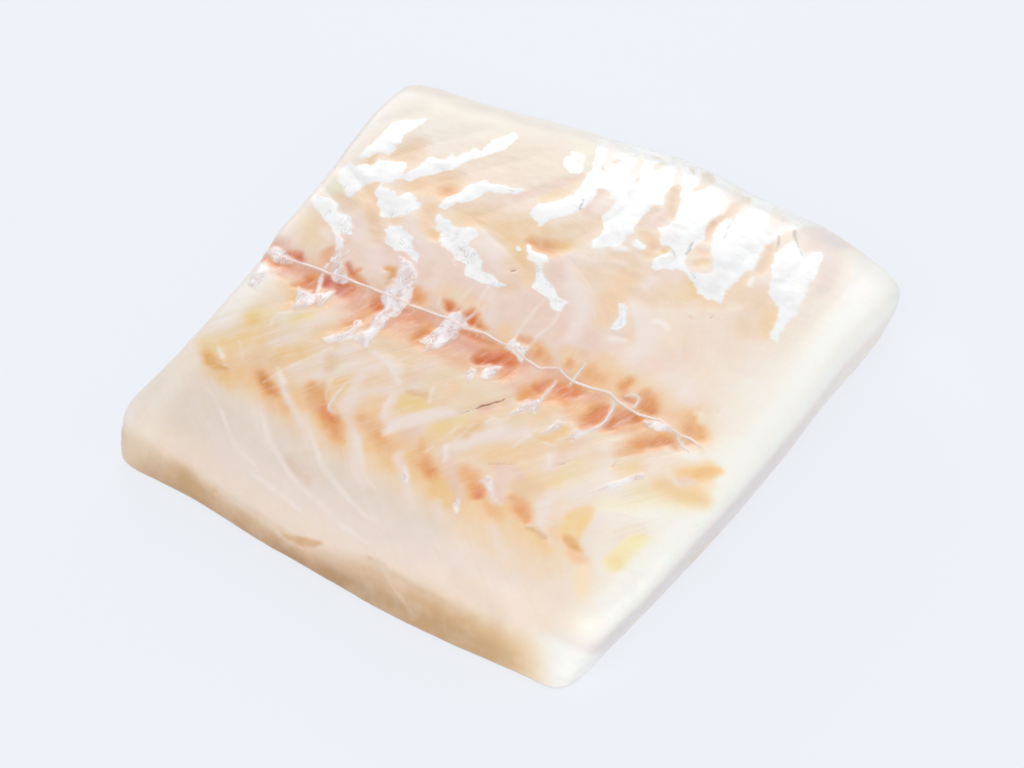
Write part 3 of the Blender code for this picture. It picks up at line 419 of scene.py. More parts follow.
    (TAN, 0.6, 1.6, ((-40.4, -35.4, 1.4), (-36.6, -34.4, 1.2))), (ORANGE, 0.45, 1.0, ((-23.0, -37.6, 0.5), (-21.6, -38.4, 0.6))), ((228, 178, 132), 0.95, 1.2, ((-26.4, -36.2, 1.3), (-25.0, -37.4, 1.9), (-23.6, -38.4, 1.2))), (ORANGE, 0.9, 1.3, ((-20.4, -40.4, 0.9), (-17.8, -42.2, 0.9), (-15.6, -44.4, 0.4))), ((230, 140, 88), 0.8, 1.0, ((-22.4, -39.0, 0.4), (-21, -39.7, 0.7), (-19.2, -40.4, 0.4))), (PEACH, 0.8, 1.6, ((-16, -45, 0.9), (-12.6, -46, 0.7))),
    ((232, 186, 144), 0.9, 1.4, ((-14.8, -38.0, 0.8), (-12.8, -38.8, 1.2), (-10.4, -39.6, 1.1))), (ORANGE, 0.36, 1.4, ((-9.6, -39.9, 0.6), (-7.4, -41.4, 0.9), (-5.2, -42.8, 0.5))), (HONEY, 0.7, 1.2, ((-4.8, -43.8, 0.8), (-3.4, -45.4, 0.7))),
    ((234, 188, 142), 0.9, 1.3, ((-1.0, -38.4, 0.5), (-0.4, -40, 1.1), (1.6, -41.4, 0.9))), (ORANGE, 0.85, 1.1, ((2.0, -41.6, 0.5), (3.6, -42.8, 0.8), (5.0, -44.0, 0.4))), (CORAL, 0.35, 0.6, ((3.8, -42.8, 0.6),)), (HONEY, 0.9, 1.5, ((6, -45, 0.9), (8.4, -47, 1.3), (10, -48.2, 0.6))),
    ((234, 186, 142), 0.95, 1.3, ((9.8, -40.4, 0.8), (11.8, -41.2, 1.4), (13.4, -42.4, 1.0))), (ORANGE, 0.8, 1.2, ((13.0, -43.0, 0.6), (14.0, -44.0, 0.8))), ((228, 146, 102), 0.95, 0.9, ((14.4, -43.0, 0.5), (15.0, -43.9, 0.7))), ((236, 190, 144), 0.85, 1.2, ((17.8, -45.2, 0.5), (19.6, -46.4, 0.9), (20.6, -47.2, 0.5))),
    (TAN, 0.6, 1.6, ((21.6, -39, 1.4), (24.4, -38.6, 1.2))), ((232, 180, 134), 0.95, 1.2, ((21.0, -41.6, 0.6), (23.0, -42.6, 1.3), (24.6, -43.6, 1.0))), ((236, 158, 96), 0.85, 0.9, ((23.6, -43.4, 0.35), (25.4, -44.6, 0.45))), (PINK, 0.8, 1.0, ((18.6, -42.6, 0.9), (17, -41, 0.8))),
    ((240, 208, 160), 0.9, 0.9, ((28.6, -46.8, 0.5), (30.8, -48.2, 0.9), (32.4, -49.4, 0.6))), (BROWN, 0.5, 0.6, ((26.6, -46, 0.2), (28.6, -45.6, 0.3), (30.6, -46.8, 0.25))),
    ((243, 210, 154), 1.0, 1.0, ((34.6, -38.6, 1.0), (34.0, -41.4, 2.1), (34.4, -43.6, 1.8), (35.6, -45.2, 1.2))), ((231, 166, 80), 0.95, 0.8, ((34.6, -45.0, 0.5), (36.0, -45.9, 0.9), (37.2, -46.6, 0.4))), (LILAC, 0.7, 1.0, ((38, -40, 1.0), (38.6, -44.4, 0.9))),
    ((240, 192, 148), 0.8, 1.1, ((36.8, -48.0, 0.6), (38.6, -48.6, 0.8))), ((248, 226, 196), 0.9, 1.4, ((40.4, -49.6, 0.8), (41.0, -52.4, 1.0), (42.6, -54.4, 0.6))), (IVORY, 0.8, 1.0, ((41, -46.4, 0.6), (44.6, -49.6, 0.8), (46.6, -52.4, 0.6))),
    ((254, 234, 192), 1.0, 0.9, ((46.8, -40.0, 1.6), (46.2, -43, 2.9), (45.0, -45.8, 2.1))), (HONEY, 0.3, 1.0, ((44.6, -45.6, 0.8), (46, -46.8, 0.5))), (LILAC, 0.7, 0.8, ((43.2, -40.8, 0.4), (42.4, -43.4, 0.4))),
    (IVORY, 0.8, 1.6, ((40.6, -40, 1.4), (41, -44, 1.0))), (CREAM, 0.9, 1.4, ((48.8, -40, 0.9), (48.4, -47, 0.9), (47.6, -54, 1.2))),
    ((226, 192, 152), 0.6, 1.4, ((6.6, -31.2, 0.7), (5.4, -33.2, 0.7))), ((224, 192, 160), 0.6, 1.4, ((-26.8, -29.2, 0.8), (-25.8, -31.0, 0.7))), ((236, 206, 162), 0.5, 1.4, ((22.6, -24.6, 0.8), (24.4, -27.2, 0.8))),
    # belly flap
    ((230, 219, 209), 0.85, 4, ((-52, -48, 4.4), (-30, -50, 4.4), (-10, -53, 3.8), (10, -55, 3))), (LILAC, 0.65, 2.6, ((-36, -54, 2), (-16, -57.4, 2), (6, -58, 2.4), (30, -58.5, 2))), (SAND, 0.4, 3.5, ((24, -52, 2.4), (32, -53, 2.4))),
    (LILAC, 0.6, 1.4, ((-35, -44.4, 0.6), (-31, -48, 0.9), (-27, -50.4, 0.6))), ((224, 206, 188), 0.5, 1.8, ((20, -60.6, 0.6), (25.6, -61.7, 1.0), (30, -62.4, 0.6))), ((218, 190, 170), 0.45, 1.4, ((-22.4, -51.0, 0.4), (-19.1, -52.8, 0.9), (-16.2, -54.2, 0.4))),
    (LILAC, 0.9, 1.2, ((-13, -42.6, 0.7), (-11, -45.6, 0.9), (-9, -48.4, 0.8), (-6, -51, 0.4))), (LILAC, 0.75, 1.1, ((-24.4, -42, 0.5), (-22.4, -44.6, 0.7), (-20.4, -47.4, 0.5))), (LILAC, 0.8, 1.0, ((-3.4, -42.6, 0.6), (-1.4, -44.6, 0.7), (1.6, -48, 0.5), (5.4, -51.2, 0.4))),
    (LILAC, 0.6, 1.0, ((8.6, -48.8, 0.5), (12, -52, 0.5))), (LILAC, 0.55, 1.2, ((20.4, -49, 0.6), (26, -53.6, 0.7))),
    (MILK, 0.8, 0.4, ((-48.2, -35.7, 0.1), (-46.6, -36.8, 0.35))), (MILK, 0.8, 0.35, ((-34.5, -35.6, 0.1), (-33.4, -36.4, 0.35), (-32.4, -37.4, 0.1))), (MILK, 0.8, 0.35, ((4.0, -37.2, 0.25), (5.0, -38.8, 0.3), (5.4, -40.0, 0.1))), (MILK, 0.7, 0.3, ((-9.0, -39.4, 0.15), (-7.6, -38.4, 0.25))),
    ((253, 247, 240), 0.75, 0.8, ((-47.4, 18.2, 0.3), (-46.4, 16.6, 0.5))),
    ((243, 235, 224), 0.75, 2.4, ((-52.5, -40, 1.0), (-52.6, -46, 1.8), (-53.6, -54, 1.8), (-50.4, -58, 1.0))),
    # flesh seen in the gaps of the wet highlight patches, and marks on the back
    ((230, 208, 190), 0.9, 1.1, ((7.8, 38.6, 0.6), (7.6, 35.4, 0.9), (8, 32.4, 0.9))), ((222, 194, 164), 0.7, 1.1, ((7.9, 47.4, 0.6), (9.2, 43.6, 0.7), (11.6, 38.8, 0.4))), (PINK, 0.9, 1.2, ((10.4, 38, 0.6), (10, 34, 0.8))),
    (PEACH, 0.9, 1.4, ((10, 30.6, 1.0), (13.4, 27.8, 1.2), (13, 25, 0.8))), (ROSE, 0.4, 1.2, ((12.8, 28.6, 0.8),)), (HONEY, 0.9, 0.6, ((15.4, 29.0, 0.5), (15.8, 28.0, 0.3))),
    ((232, 208, 186), 0.95, 1.0, ((20.2, 51, 0.4), (21, 47.4, 0.8), (19.6, 43, 0.6), (21, 36, 0.6))), ((234, 178, 140), 0.5, 0.8, ((19.6, 41.4, 0.4), (19.8, 39, 0.4))), ((238, 190, 152), 0.5, 1.0, ((22, 31.8, 0.7),)), ((234, 204, 164), 0.8, 1.0, ((23.4, 29.4, 0.9), (22.6, 27.8, 0.5))),
    ((232, 206, 178), 1.0, 1.1, ((32.6, 41, 0.5), (34, 36.8, 1.0), (34.4, 33, 0.7))), (SAND, 0.9, 1.6, ((33, 30, 0.9), (32.8, 25.4, 1.2), (37, 28, 1.2))), (MILK, 0.8, 0.4, ((34.0, 30.6, 0.2), (34.6, 28.2, 0.35))),
    # The last stroke on the next line, and the grey stroke on the line after it, are painted shade in the fold near the
    # back edge.
    (PINK, 0.9, 1.0, ((-4.4, 37.6, 0.5), (-3.4, 33.6, 0.9), (-3.6, 29.4, 0.6))), (LILAC, 0.8, 1.4, ((-2.4, 35, 0.8), (-1.6, 32, 0.6))), ((229, 216, 211), 0.8, 1.4, ((35.6, 49.4, 1.0), (40, 48, 1.8), (44.6, 44, 1.6), (46.6, 39, 1.2), (46.8, 34, 1.0))),
    (MILK, 0.9, 0.7, ((7.0, 23.6, 0.8), (8.4, 24.2, 0.4))), (GREY, 0.4, 0.9, ((34.2, 48.8, 0.5), (35.6, 47.6, 0.7))),
    (OLIVE, 0.7, 1.4, ((-16, 52, 1.4), (-12.6, 47, 0.9), (-10.6, 43.4, 0.6))), (PINK, 0.8, 1.0, ((-20.6, 25, 0.3), (-17.6, 28.4, 0.7), (-14.6, 32.6, 0.8), (-11.4, 38.6, 0.5), (-10.6, 40.4, 0.2))),
)

# Outlines of the wet patches, coloured near white as painted highlight and glossy with low roughness.
WET_HIGHLIGHTS = (
    ((-47.2, 40.8), (-47.4, 37.0), (-48.3, 33.5), (-47.8, 30.5), (-48.6, 29.4), (-47.3, 28.2), (-47.6, 26.2), (-50.2, 25.6), (-50.8, 23.6), (-51.8, 22.0), (-52.8, 22.4),
     (-52.8, 26.0), (-52.4, 31.0), (-52.8, 36.0), (-50.6, 38.2)),
    ((-48.8, 23.8), (-46.5, 24.3), (-43.5, 25.8), (-42.7, 25.2), (-42.2, 22.8), (-41.0, 21.0), (-42.6, 18.8), (-44.2, 18.0), (-46.2, 17.1), (-46.9, 15.4), (-47.1, 12.6),
     (-47.2, 10.4), (-48.4, 10.8), (-50.2, 12.6), (-52.6, 14.0), (-53.6, 17.0), (-53.4, 20.4), (-51.6, 20.0), (-50.2, 21.6), (-48.9, 21.2)),
    ((-29.8, 46.8), (-28.0, 45.5), (-27.8, 42.0), (-28.3, 39.4), (-30.0, 37.5), (-31.0, 35.4), (-32.3, 33.4), (-33.6, 31.0), (-33.9, 28.9), (-35.5, 27.8), (-36.5, 25.2),
     (-38.3, 23.0), (-39.6, 20.8), (-40.9, 20.4), (-41.6, 21.6), (-41.2, 23.8), (-40.4, 25.4), (-40.5, 27.5), (-40.2, 30.0), (-37.5, 30.0), (-36.8, 31.6), (-37.2, 33.8),
     (-35.4, 32.2), (-34.8, 34.4), (-34.0, 35.0), (-34.2, 37.2), (-32.0, 37.4), (-32.2, 40.0), (-31.8, 42.6), (-30.4, 45.0)),
    ((-43.9, 18.2), (-43.4, 16.6), (-41.5, 16.8), (-39.8, 15.9), (-39.0, 15.2), (-38.6, 17.0), (-37.6, 17.9), (-36.0, 17.0), (-33.8, 16.0), (-33.2, 15.2), (-34.2, 13.6),
     (-34.2, 11.9), (-35.8, 10.8), (-38.6, 8.6), (-39.4, 8.9), (-40.4, 11.0), (-41.6, 12.2), (-43.4, 13.6), (-44.4, 15.6)),
    ((-30.0, 16.3), (-30.3, 19.0), (-30.0, 20.8), (-29.4, 21.6), (-28.8, 23.6), (-28.9, 25.4), (-27.8, 26.4), (-27.0, 28.4), (-26.0, 29.2), (-25.0, 28.6), (-23.0, 29.0),
     (-20.6, 29.8), (-19.0, 30.4), (-17.2, 30.2), (-18.8, 28.6), (-20.4, 27.2), (-22.8, 26.2), (-24.2, 25.6), (-24.4, 23.6), (-25.2, 22.2), (-26.8, 20.6), (-27.6, 20.3),
     (-28.2, 18.0), (-28.6, 16.8)),
    ((-16.6, 47.6), (-15.0, 47.9), (-13.4, 47.6), (-12.2, 44.8), (-10.8, 42.0), (-11.2, 40.8), (-12.6, 40.4), (-15.0, 41.2), (-16.2, 43.6), (-15.8, 45.8)),
    ((-16.0, 58.5), (-13.6, 53.0), (-11.6, 48.5), (-10.0, 44.0), (-9.2, 40.5), (-8.8, 37.0), (-8.6, 34.0), (-9.9, 32.6), (-10.8, 30.0), (-11.6, 28.8), (-13.4, 28.0),
     (-13.6, 26.0), (-12.8, 23.4), (-10.2, 22.2), (-9.4, 21.4), (-9.0, 22.8), (-8.7, 25.0), (-7.2, 26.8), (-5.2, 29.2), (-4.8, 31.6), (-4.4, 35.4), (-5.2, 38.4),
     (-4.4, 39.6), (-2.8, 38.8), (-1.8, 36.8), (-0.6, 37.0), (-0.2, 34.0), (-0.4, 31.0), (0.4, 29.4), (1.6, 27.6), (2.2, 25.6), (1.8, 23.4), (2.6, 21.2), (4.6, 22.2),
     (5.2, 23.6), (6.8, 24.4), (7.2, 26.4), (7.3, 28.4), (7.2, 31.0), (6.5, 34.0), (6.6, 37.0), (7.0, 40.2), (8.8, 40.8), (7.4, 43.2), (6.8, 45.4), (6.6, 47.6), (7.4, 49.6), (8.8, 49.6),
     (9.4, 46.4), (10.6, 43.6), (11.8, 40.4), (12.4, 37.4), (12.0, 35.0), (10.8, 34.0), (12.6, 31.0), (14.0, 30.2), (15.6, 30.1), (17.2, 28.4), (16.0, 27.8), (15.4, 26.6),
     (14.6, 26.0), (14.6, 24.6), (15.2, 22.6), (16.4, 21.9), (17.4, 23.4), (19.4, 24.0), (20.2, 25.0), (22.4, 24.4), (24.2, 23.4), (25.2, 22.4), (26.4, 21.2), (28.6, 19.9),
     (29.4, 20.4), (29.9, 21.2), (31.9, 20.4), (32.0, 21.6), (31.0, 23.8), (31.2, 26.4), (31.6, 29.0), (31.4, 31.2), (33.0, 32.4), (32.6, 34.4), (31.9, 37.4), (31.4, 41.6),
     (32.4, 42.4), (33.4, 41.6), (34.2, 39.8), (35.0, 37.8), (35.4, 35.4), (37.0, 32.8), (37.4, 30.6), (38.8, 28.0), (40.4, 26.6), (42.0, 25.0), (43.2, 22.8), (43.6, 20.6),
     (43.8, 18.0), (44.6, 16.4), (46.2, 15.6), (46.6, 16.4), (45.8, 19.0), (45.5, 22.0), (46.0, 25.4), (45.6, 26.8), (45.2, 29.4), (45.4, 32.6), (44.2, 33.8), (44.0, 36.0),
     (44.4, 38.4), (43.8, 40.6), (43.0, 43.0), (41.8, 45.2), (40.0, 45.0), (38.4, 43.4), (36.4, 45.0), (35.0, 47.0), (33.8, 49.4), (34.6, 52.0), (36.0, 58.0), (12.0, 63.5)),
    ((8.6, 27.8), (9.4, 28.7), (10.8, 28.4), (11.6, 27.0), (10.6, 25.6), (9.0, 25.6)),
    ((-53.8, 7.6), (-52.4, 8.2), (-50.0, 8.6), (-48.6, 8.0), (-47.4, 6.2), (-46.2, 5.4), (-44.4, 5.8), (-43.0, 4.2), (-41.8, 2.4), (-41.2, 1.6), (-43.4, 0.6), (-45.2, 0.4),
     (-46.4, 1.6), (-48.4, 2.0), (-50.6, 3.4), (-52.6, 4.8), (-54.2, 5.8)),
    ((-36.2, 6.0), (-35.6, 7.4), (-34.0, 8.8), (-33.4, 8.0), (-32.4, 7.0), (-30.2, 6.9), (-29.6, 5.0), (-28.6, 3.6), (-26.6, 2.8), (-25.8, 1.4), (-25.4, 0.4), (-26.4, 0.6),
     (-28.4, 1.6), (-29.8, 2.0), (-30.9, 1.6), (-31.8, 2.4), (-33.2, 2.2), (-34.8, 2.2), (-34.6, 4.0), (-35.4, 5.2)),
    ((-29.4, 15.2), (-28.0, 14.8), (-26.2, 14.2), (-24.4, 13.0), (-22.8, 13.4), (-21.6, 14.8), (-20.0, 14.8), (-18.6, 13.4), (-19.4, 11.4), (-19.2, 10.0), (-18.0, 9.6),
     (-16.0, 8.9), (-14.0, 7.2), (-13.0, 5.2), (-11.0, 4.9), (-8.8, 3.6), (-7.2, 3.8), (-6.8, 3.2), (-7.6, 2.4), (-9.4, 2.4), (-11.0, 1.5), (-12.6, 2.0), (-15.2, 2.0),
     (-16.2, 3.4), (-16.8, 5.0), (-19.4, 5.0), (-20.4, 5.6), (-21.6, 7.0), (-23.6, 7.2), (-25.0, 8.8), (-25.8, 10.6), (-27.8, 10.9), (-28.8, 12.6)),
    ((-8.9, 16.3), (-7.4, 14.8), (-5.4, 14.8), (-4.0, 14.9), (-3.2, 13.6), (-3.0, 12.0), (-2.4, 10.6), (-1.4, 9.2), (0.6, 8.5), (2.0, 7.9), (3.0, 6.0), (4.6, 5.3), (6.8, 5.9),
     (6.0, 4.4), (6.2, 2.0), (4.6, 1.8), (3.0, 4.0), (1.8, 4.8), (0.0, 4.9), (-2.0, 5.6), (-2.6, 7.8), (-3.6, 10.0), (-4.8, 12.0), (-7.0, 12.0), (-7.6, 13.6), (-9.0, 15.4)),
    ((-11.2, 14.9), (-10.2, 14.8), (-9.3, 13.8), (-10.2, 13.4)),
    ((14.8, 10.3), (16.2, 10.9), (17.4, 8.8), (18.6, 6.4), (18.9, 4.2), (18.0, 3.0), (16.8, 3.4), (16.6, 5.4), (16.4, 7.0)),
)

# Gaps in those highlight patches.
FISSURES = (
    ((20.2, 52.8), (21.4, 50.4), (22.3, 47.6), (22.0, 45.0), (20.9, 44.2), (20.5, 41.0), (21.0, 38.2), (22.2, 35.0), (23.6, 32.6), (25.2, 30.0), (26.2, 28.2), (25.4, 26.2),
     (22.6, 25.8), (20.4, 26.8), (19.6, 30.0), (20.0, 33.4), (20.6, 35.8), (20.0, 37.0), (19.2, 38.4), (18.6, 41.0), (18.8, 43.6), (19.8, 45.4), (19.4, 48.6), (19.5, 51.0)),
    ((0.4, 55.4), (1.3, 55.2), (1.8, 53.0), (1.7, 51.0), (0.8, 51.2), (0.2, 53.0)),
    ((5.6, 59.2), (7.4, 57.4), (8.4, 55.2), (7.6, 54.8), (6.2, 56.6)), ((8.8, 58.4), (9.8, 60.2), (12.2, 57.4), (13.0, 54.0), (12.4, 50.0), (11.0, 48.0), (10.8, 52.4), (9.6, 55.4)), ((19.2, 54.6), (20.6, 56.8), (22.2, 53.6), (21.2, 51.0)), ((34.4, 52.0), (36.6, 51.8), (38.8, 49.8), (37.0, 49.6)),
    ((-3.2, 57.0), (-1.0, 57.6), (0.2, 56.0), (-1.8, 55.4)), ((31.4, 41.6), (32.4, 45.0), (33.0, 48.4), (35.2, 48.6), (35.6, 46.0), (34.6, 42.4), (34.2, 39.4), (32.4, 39.6)),
    ((-7.6, 50.4), (-6.2, 50.6), (-6.0, 49.0), (-7.2, 47.6)), ((-8.8, 46.4), (-7.0, 45.8), (-6.4, 44.6), (-7.8, 44.8)), ((-1.0, 47.6), (0.0, 46.6), (0.6, 43.8), (-0.4, 44.8)),
)

# Outlines of thinner milky film: stars where the threads cross the backbone line, and tags below it.
MILKY_FILM = (
    ((-54.0, -8.2), (-50.6, -8.2), (-49.4, -9.4), (-47.9, -10.2), (-48.6, -11.0), (-50.6, -11.9), (-52.4, -10.8), (-54.2, -10.2)),
    ((-53.0, -13.6), (-51.0, -13.8), (-50.2, -16.0), (-49.6, -19.0), (-49.4, -21.0), (-51.6, -20.4), (-52.8, -17.0)),
    ((-44.8, 0.4), (-41.6, -0.8), (-40.6, -3.0), (-39.6, -5.4), (-38.4, -6.6), (-37.2, -8.0), (-35.0, -9.5), (-35.6, -10.5), (-37.6, -11.0), (-39.8, -9.0), (-40.2, -7.4), (-41.4, -6.6), (-41.2, -4.6), (-42.6, -2.4)),
    ((-41.6, -7.4), (-41.0, -7.6), (-40.2, -10.6), (-38.8, -14.4), (-38.2, -16.8), (-39.4, -15.2), (-40.8, -11.4)),
    ((-42.4, -16.2), (-39.6, -15.8), (-37.6, -14.6), (-36.4, -12.6), (-35.8, -15.0), (-36.0, -18.8), (-37.6, -18.2), (-38.4, -20.0), (-39.6, -22.0), (-40.8, -20.0), (-41.6, -18.0)),
    ((-29.6, 0.6), (-26.2, 0.2), (-23.8, -2.4), (-22.6, -5.4), (-21.8, -8.0), (-21.2, -9.6), (-21.8, -11.2), (-21.6, -13.4), (-22.4, -14.4), (-22.0, -17.0), (-22.2, -21.0),
     (-21.8, -24.0), (-23.6, -23.4), (-25.4, -22.8), (-24.6, -20.0), (-24.8, -17.4), (-25.6, -15.0), (-24.8, -12.8), (-26.0, -11.6), (-27.4, -10.2), (-27.6, -8.2), (-26.4, -6.2), (-27.4, -3.6)),
    ((-28.4, -18.6), (-27.0, -17.6), (-25.6, -18.8), (-26.0, -21.0), (-25.2, -23.0), (-27.0, -24.6), (-30.0, -26.2), (-31.4, -25.8), (-29.0, -23.4), (-27.6, -21.4)),
    ((-13.0, -9.4), (-12.6, -7.4), (-11.0, -6.6), (-9.6, -7.0), (-8.8, -8.4), (-7.4, -9.6), (-8.8, -10.4), (-8.4, -12.6), (-8.8, -14.8), (-10.0, -17.0), (-11.4, -19.5),
     (-12.4, -17.6), (-13.8, -17.2), (-13.2, -14.0), (-12.9, -11.0)),
    ((0.8, -9.4), (1.6, -7.8), (2.4, -8.6), (4.0, -8.9), (5.3, -8.2), (5.4, -10.4), (6.2, -12.6), (5.2, -12.4), (3.8, -10.8), (2.0, -10.8), (0.9, -10.2)),
    ((3.1, -15.0), (3.3, -17.6), (2.8, -20.0), (1.4, -20.6), (0.7, -18.6), (0.7, -16.6), (1.6, -16.0)),
    ((-1.8, -18.6), (-0.4, -18.8), (0.2, -20.6), (0.1, -22.2), (-0.8, -21.4), (-1.6, -20.0)),
    ((13.8, -18.0), (14.4, -18.4), (14.8, -20.2), (15.2, -21.4), (14.8, -23.4), (13.4, -22.6), (12.2, -24.4), (10.6, -25.6), (11.8, -23.0), (11.4, -20.6), (13.0, -20.0)),
    ((25.8, -21.0), (26.6, -21.2), (25.6, -23.4), (24.2, -26.2), (24.0, -24.4), (22.4, -26.6), (23.2, -24.0), (23.6, -22.4), (24.8, -22.6)),
    ((33.4, -13.8), (35.0, -12.9), (38.0, -13.0), (39.4, -14.0), (37.0, -15.0), (34.6, -15.0)),
    ((19.6, -22.2), (20.6, -22.4), (20.9, -24.2), (19.8, -25.6), (18.4, -26.6), (19.0, -24.4)),
    ((39.2, -25.8), (40.4, -26.6), (39.6, -28.0), (37.8, -30.4), (35.6, -32.4), (33.2, -34.6), (35.4, -31.4), (37.6, -28.8)),
    ((-1.6, -43.4), (-0.6, -44.2), (0.6, -45.6), (1.4, -47.4), (0.4, -47.2), (-0.2, -45.6)),
    ((10.8, -45.2), (12.0, -46.2), (13.8, -49.6), (12.4, -48.9), (11.2, -47.0)),
    ((13.4, -40.2), (15.2, -39.6), (16.2, -41.2), (16.8, -43.0), (15.4, -41.8)),
)

# Cracks between muscle blocks and small dark dots: (x, y, radius) points.
CRACKS = (
    ((9.1, -21.0, 0.08), (6.8, -24.0, 0.2), (4.9, -26.3, 0.32), (4.5, -26.8, 0.16)),
    ((4.2, -27.2, 0.08), (2.0, -29.4, 0.08)), ((0.8, -30.9, 0.04), (-0.1, -31.8, 0.08)),
    ((27.2, -28.8, 0.03), (25.6, -30.6, 0.08), (24.2, -32.6, 0.02)), ((33.9, -25.6, 0.1), (33.7, -27.0, 0.16)), ((17.4, -35.2, 0.02), (14.4, -36.2, 0.1), (12.4, -37.6, 0.02)),
    ((-7.5, 8.2, 0.22), (-8.0, 7.6, 0.24)), ((32.0, 16.4, 0.14), (32.4, 15.6, 0.14)), ((28.4, 14.2, 0.1), (29.2, 13.5, 0.16)), ((44.6, -5.7, 0.2),), ((-13.6, -47.0, 0.12),),
)

# Shadowed folds at the edges of the wet highlight patches: painted shade in strokes of a dull grey.
FOLD_SHADES = (
    ((34.0, 49.2, 0.4), (35.2, 46.8, 0.32), (37.0, 44.8, 0.24), (38.7, 42.6, 0.1)), ((32.1, 45.6, 0.2), (33.2, 43.8, 0.38), (34.0, 40.8, 0.1)),
    ((21.9, 46.6, 0.15), (22.5, 42.4, 0.2), (23.5, 38.6, 0.14)), ((15.6, 29.9, 0.12), (17.0, 29.0, 0.2), (18.1, 27.6, 0.1)), ((22.6, 25.4, 0.1), (24.4, 24.2, 0.2)),
    ((-6.1, 33.6, 0.2), (-5.2, 30.6, 0.3)), ((18.9, 33.8, 0.3), (19.5, 29.6, 0.3)), ((-21.0, 28.6, 0.1), (-19.6, 28.8, 0.2)),
)

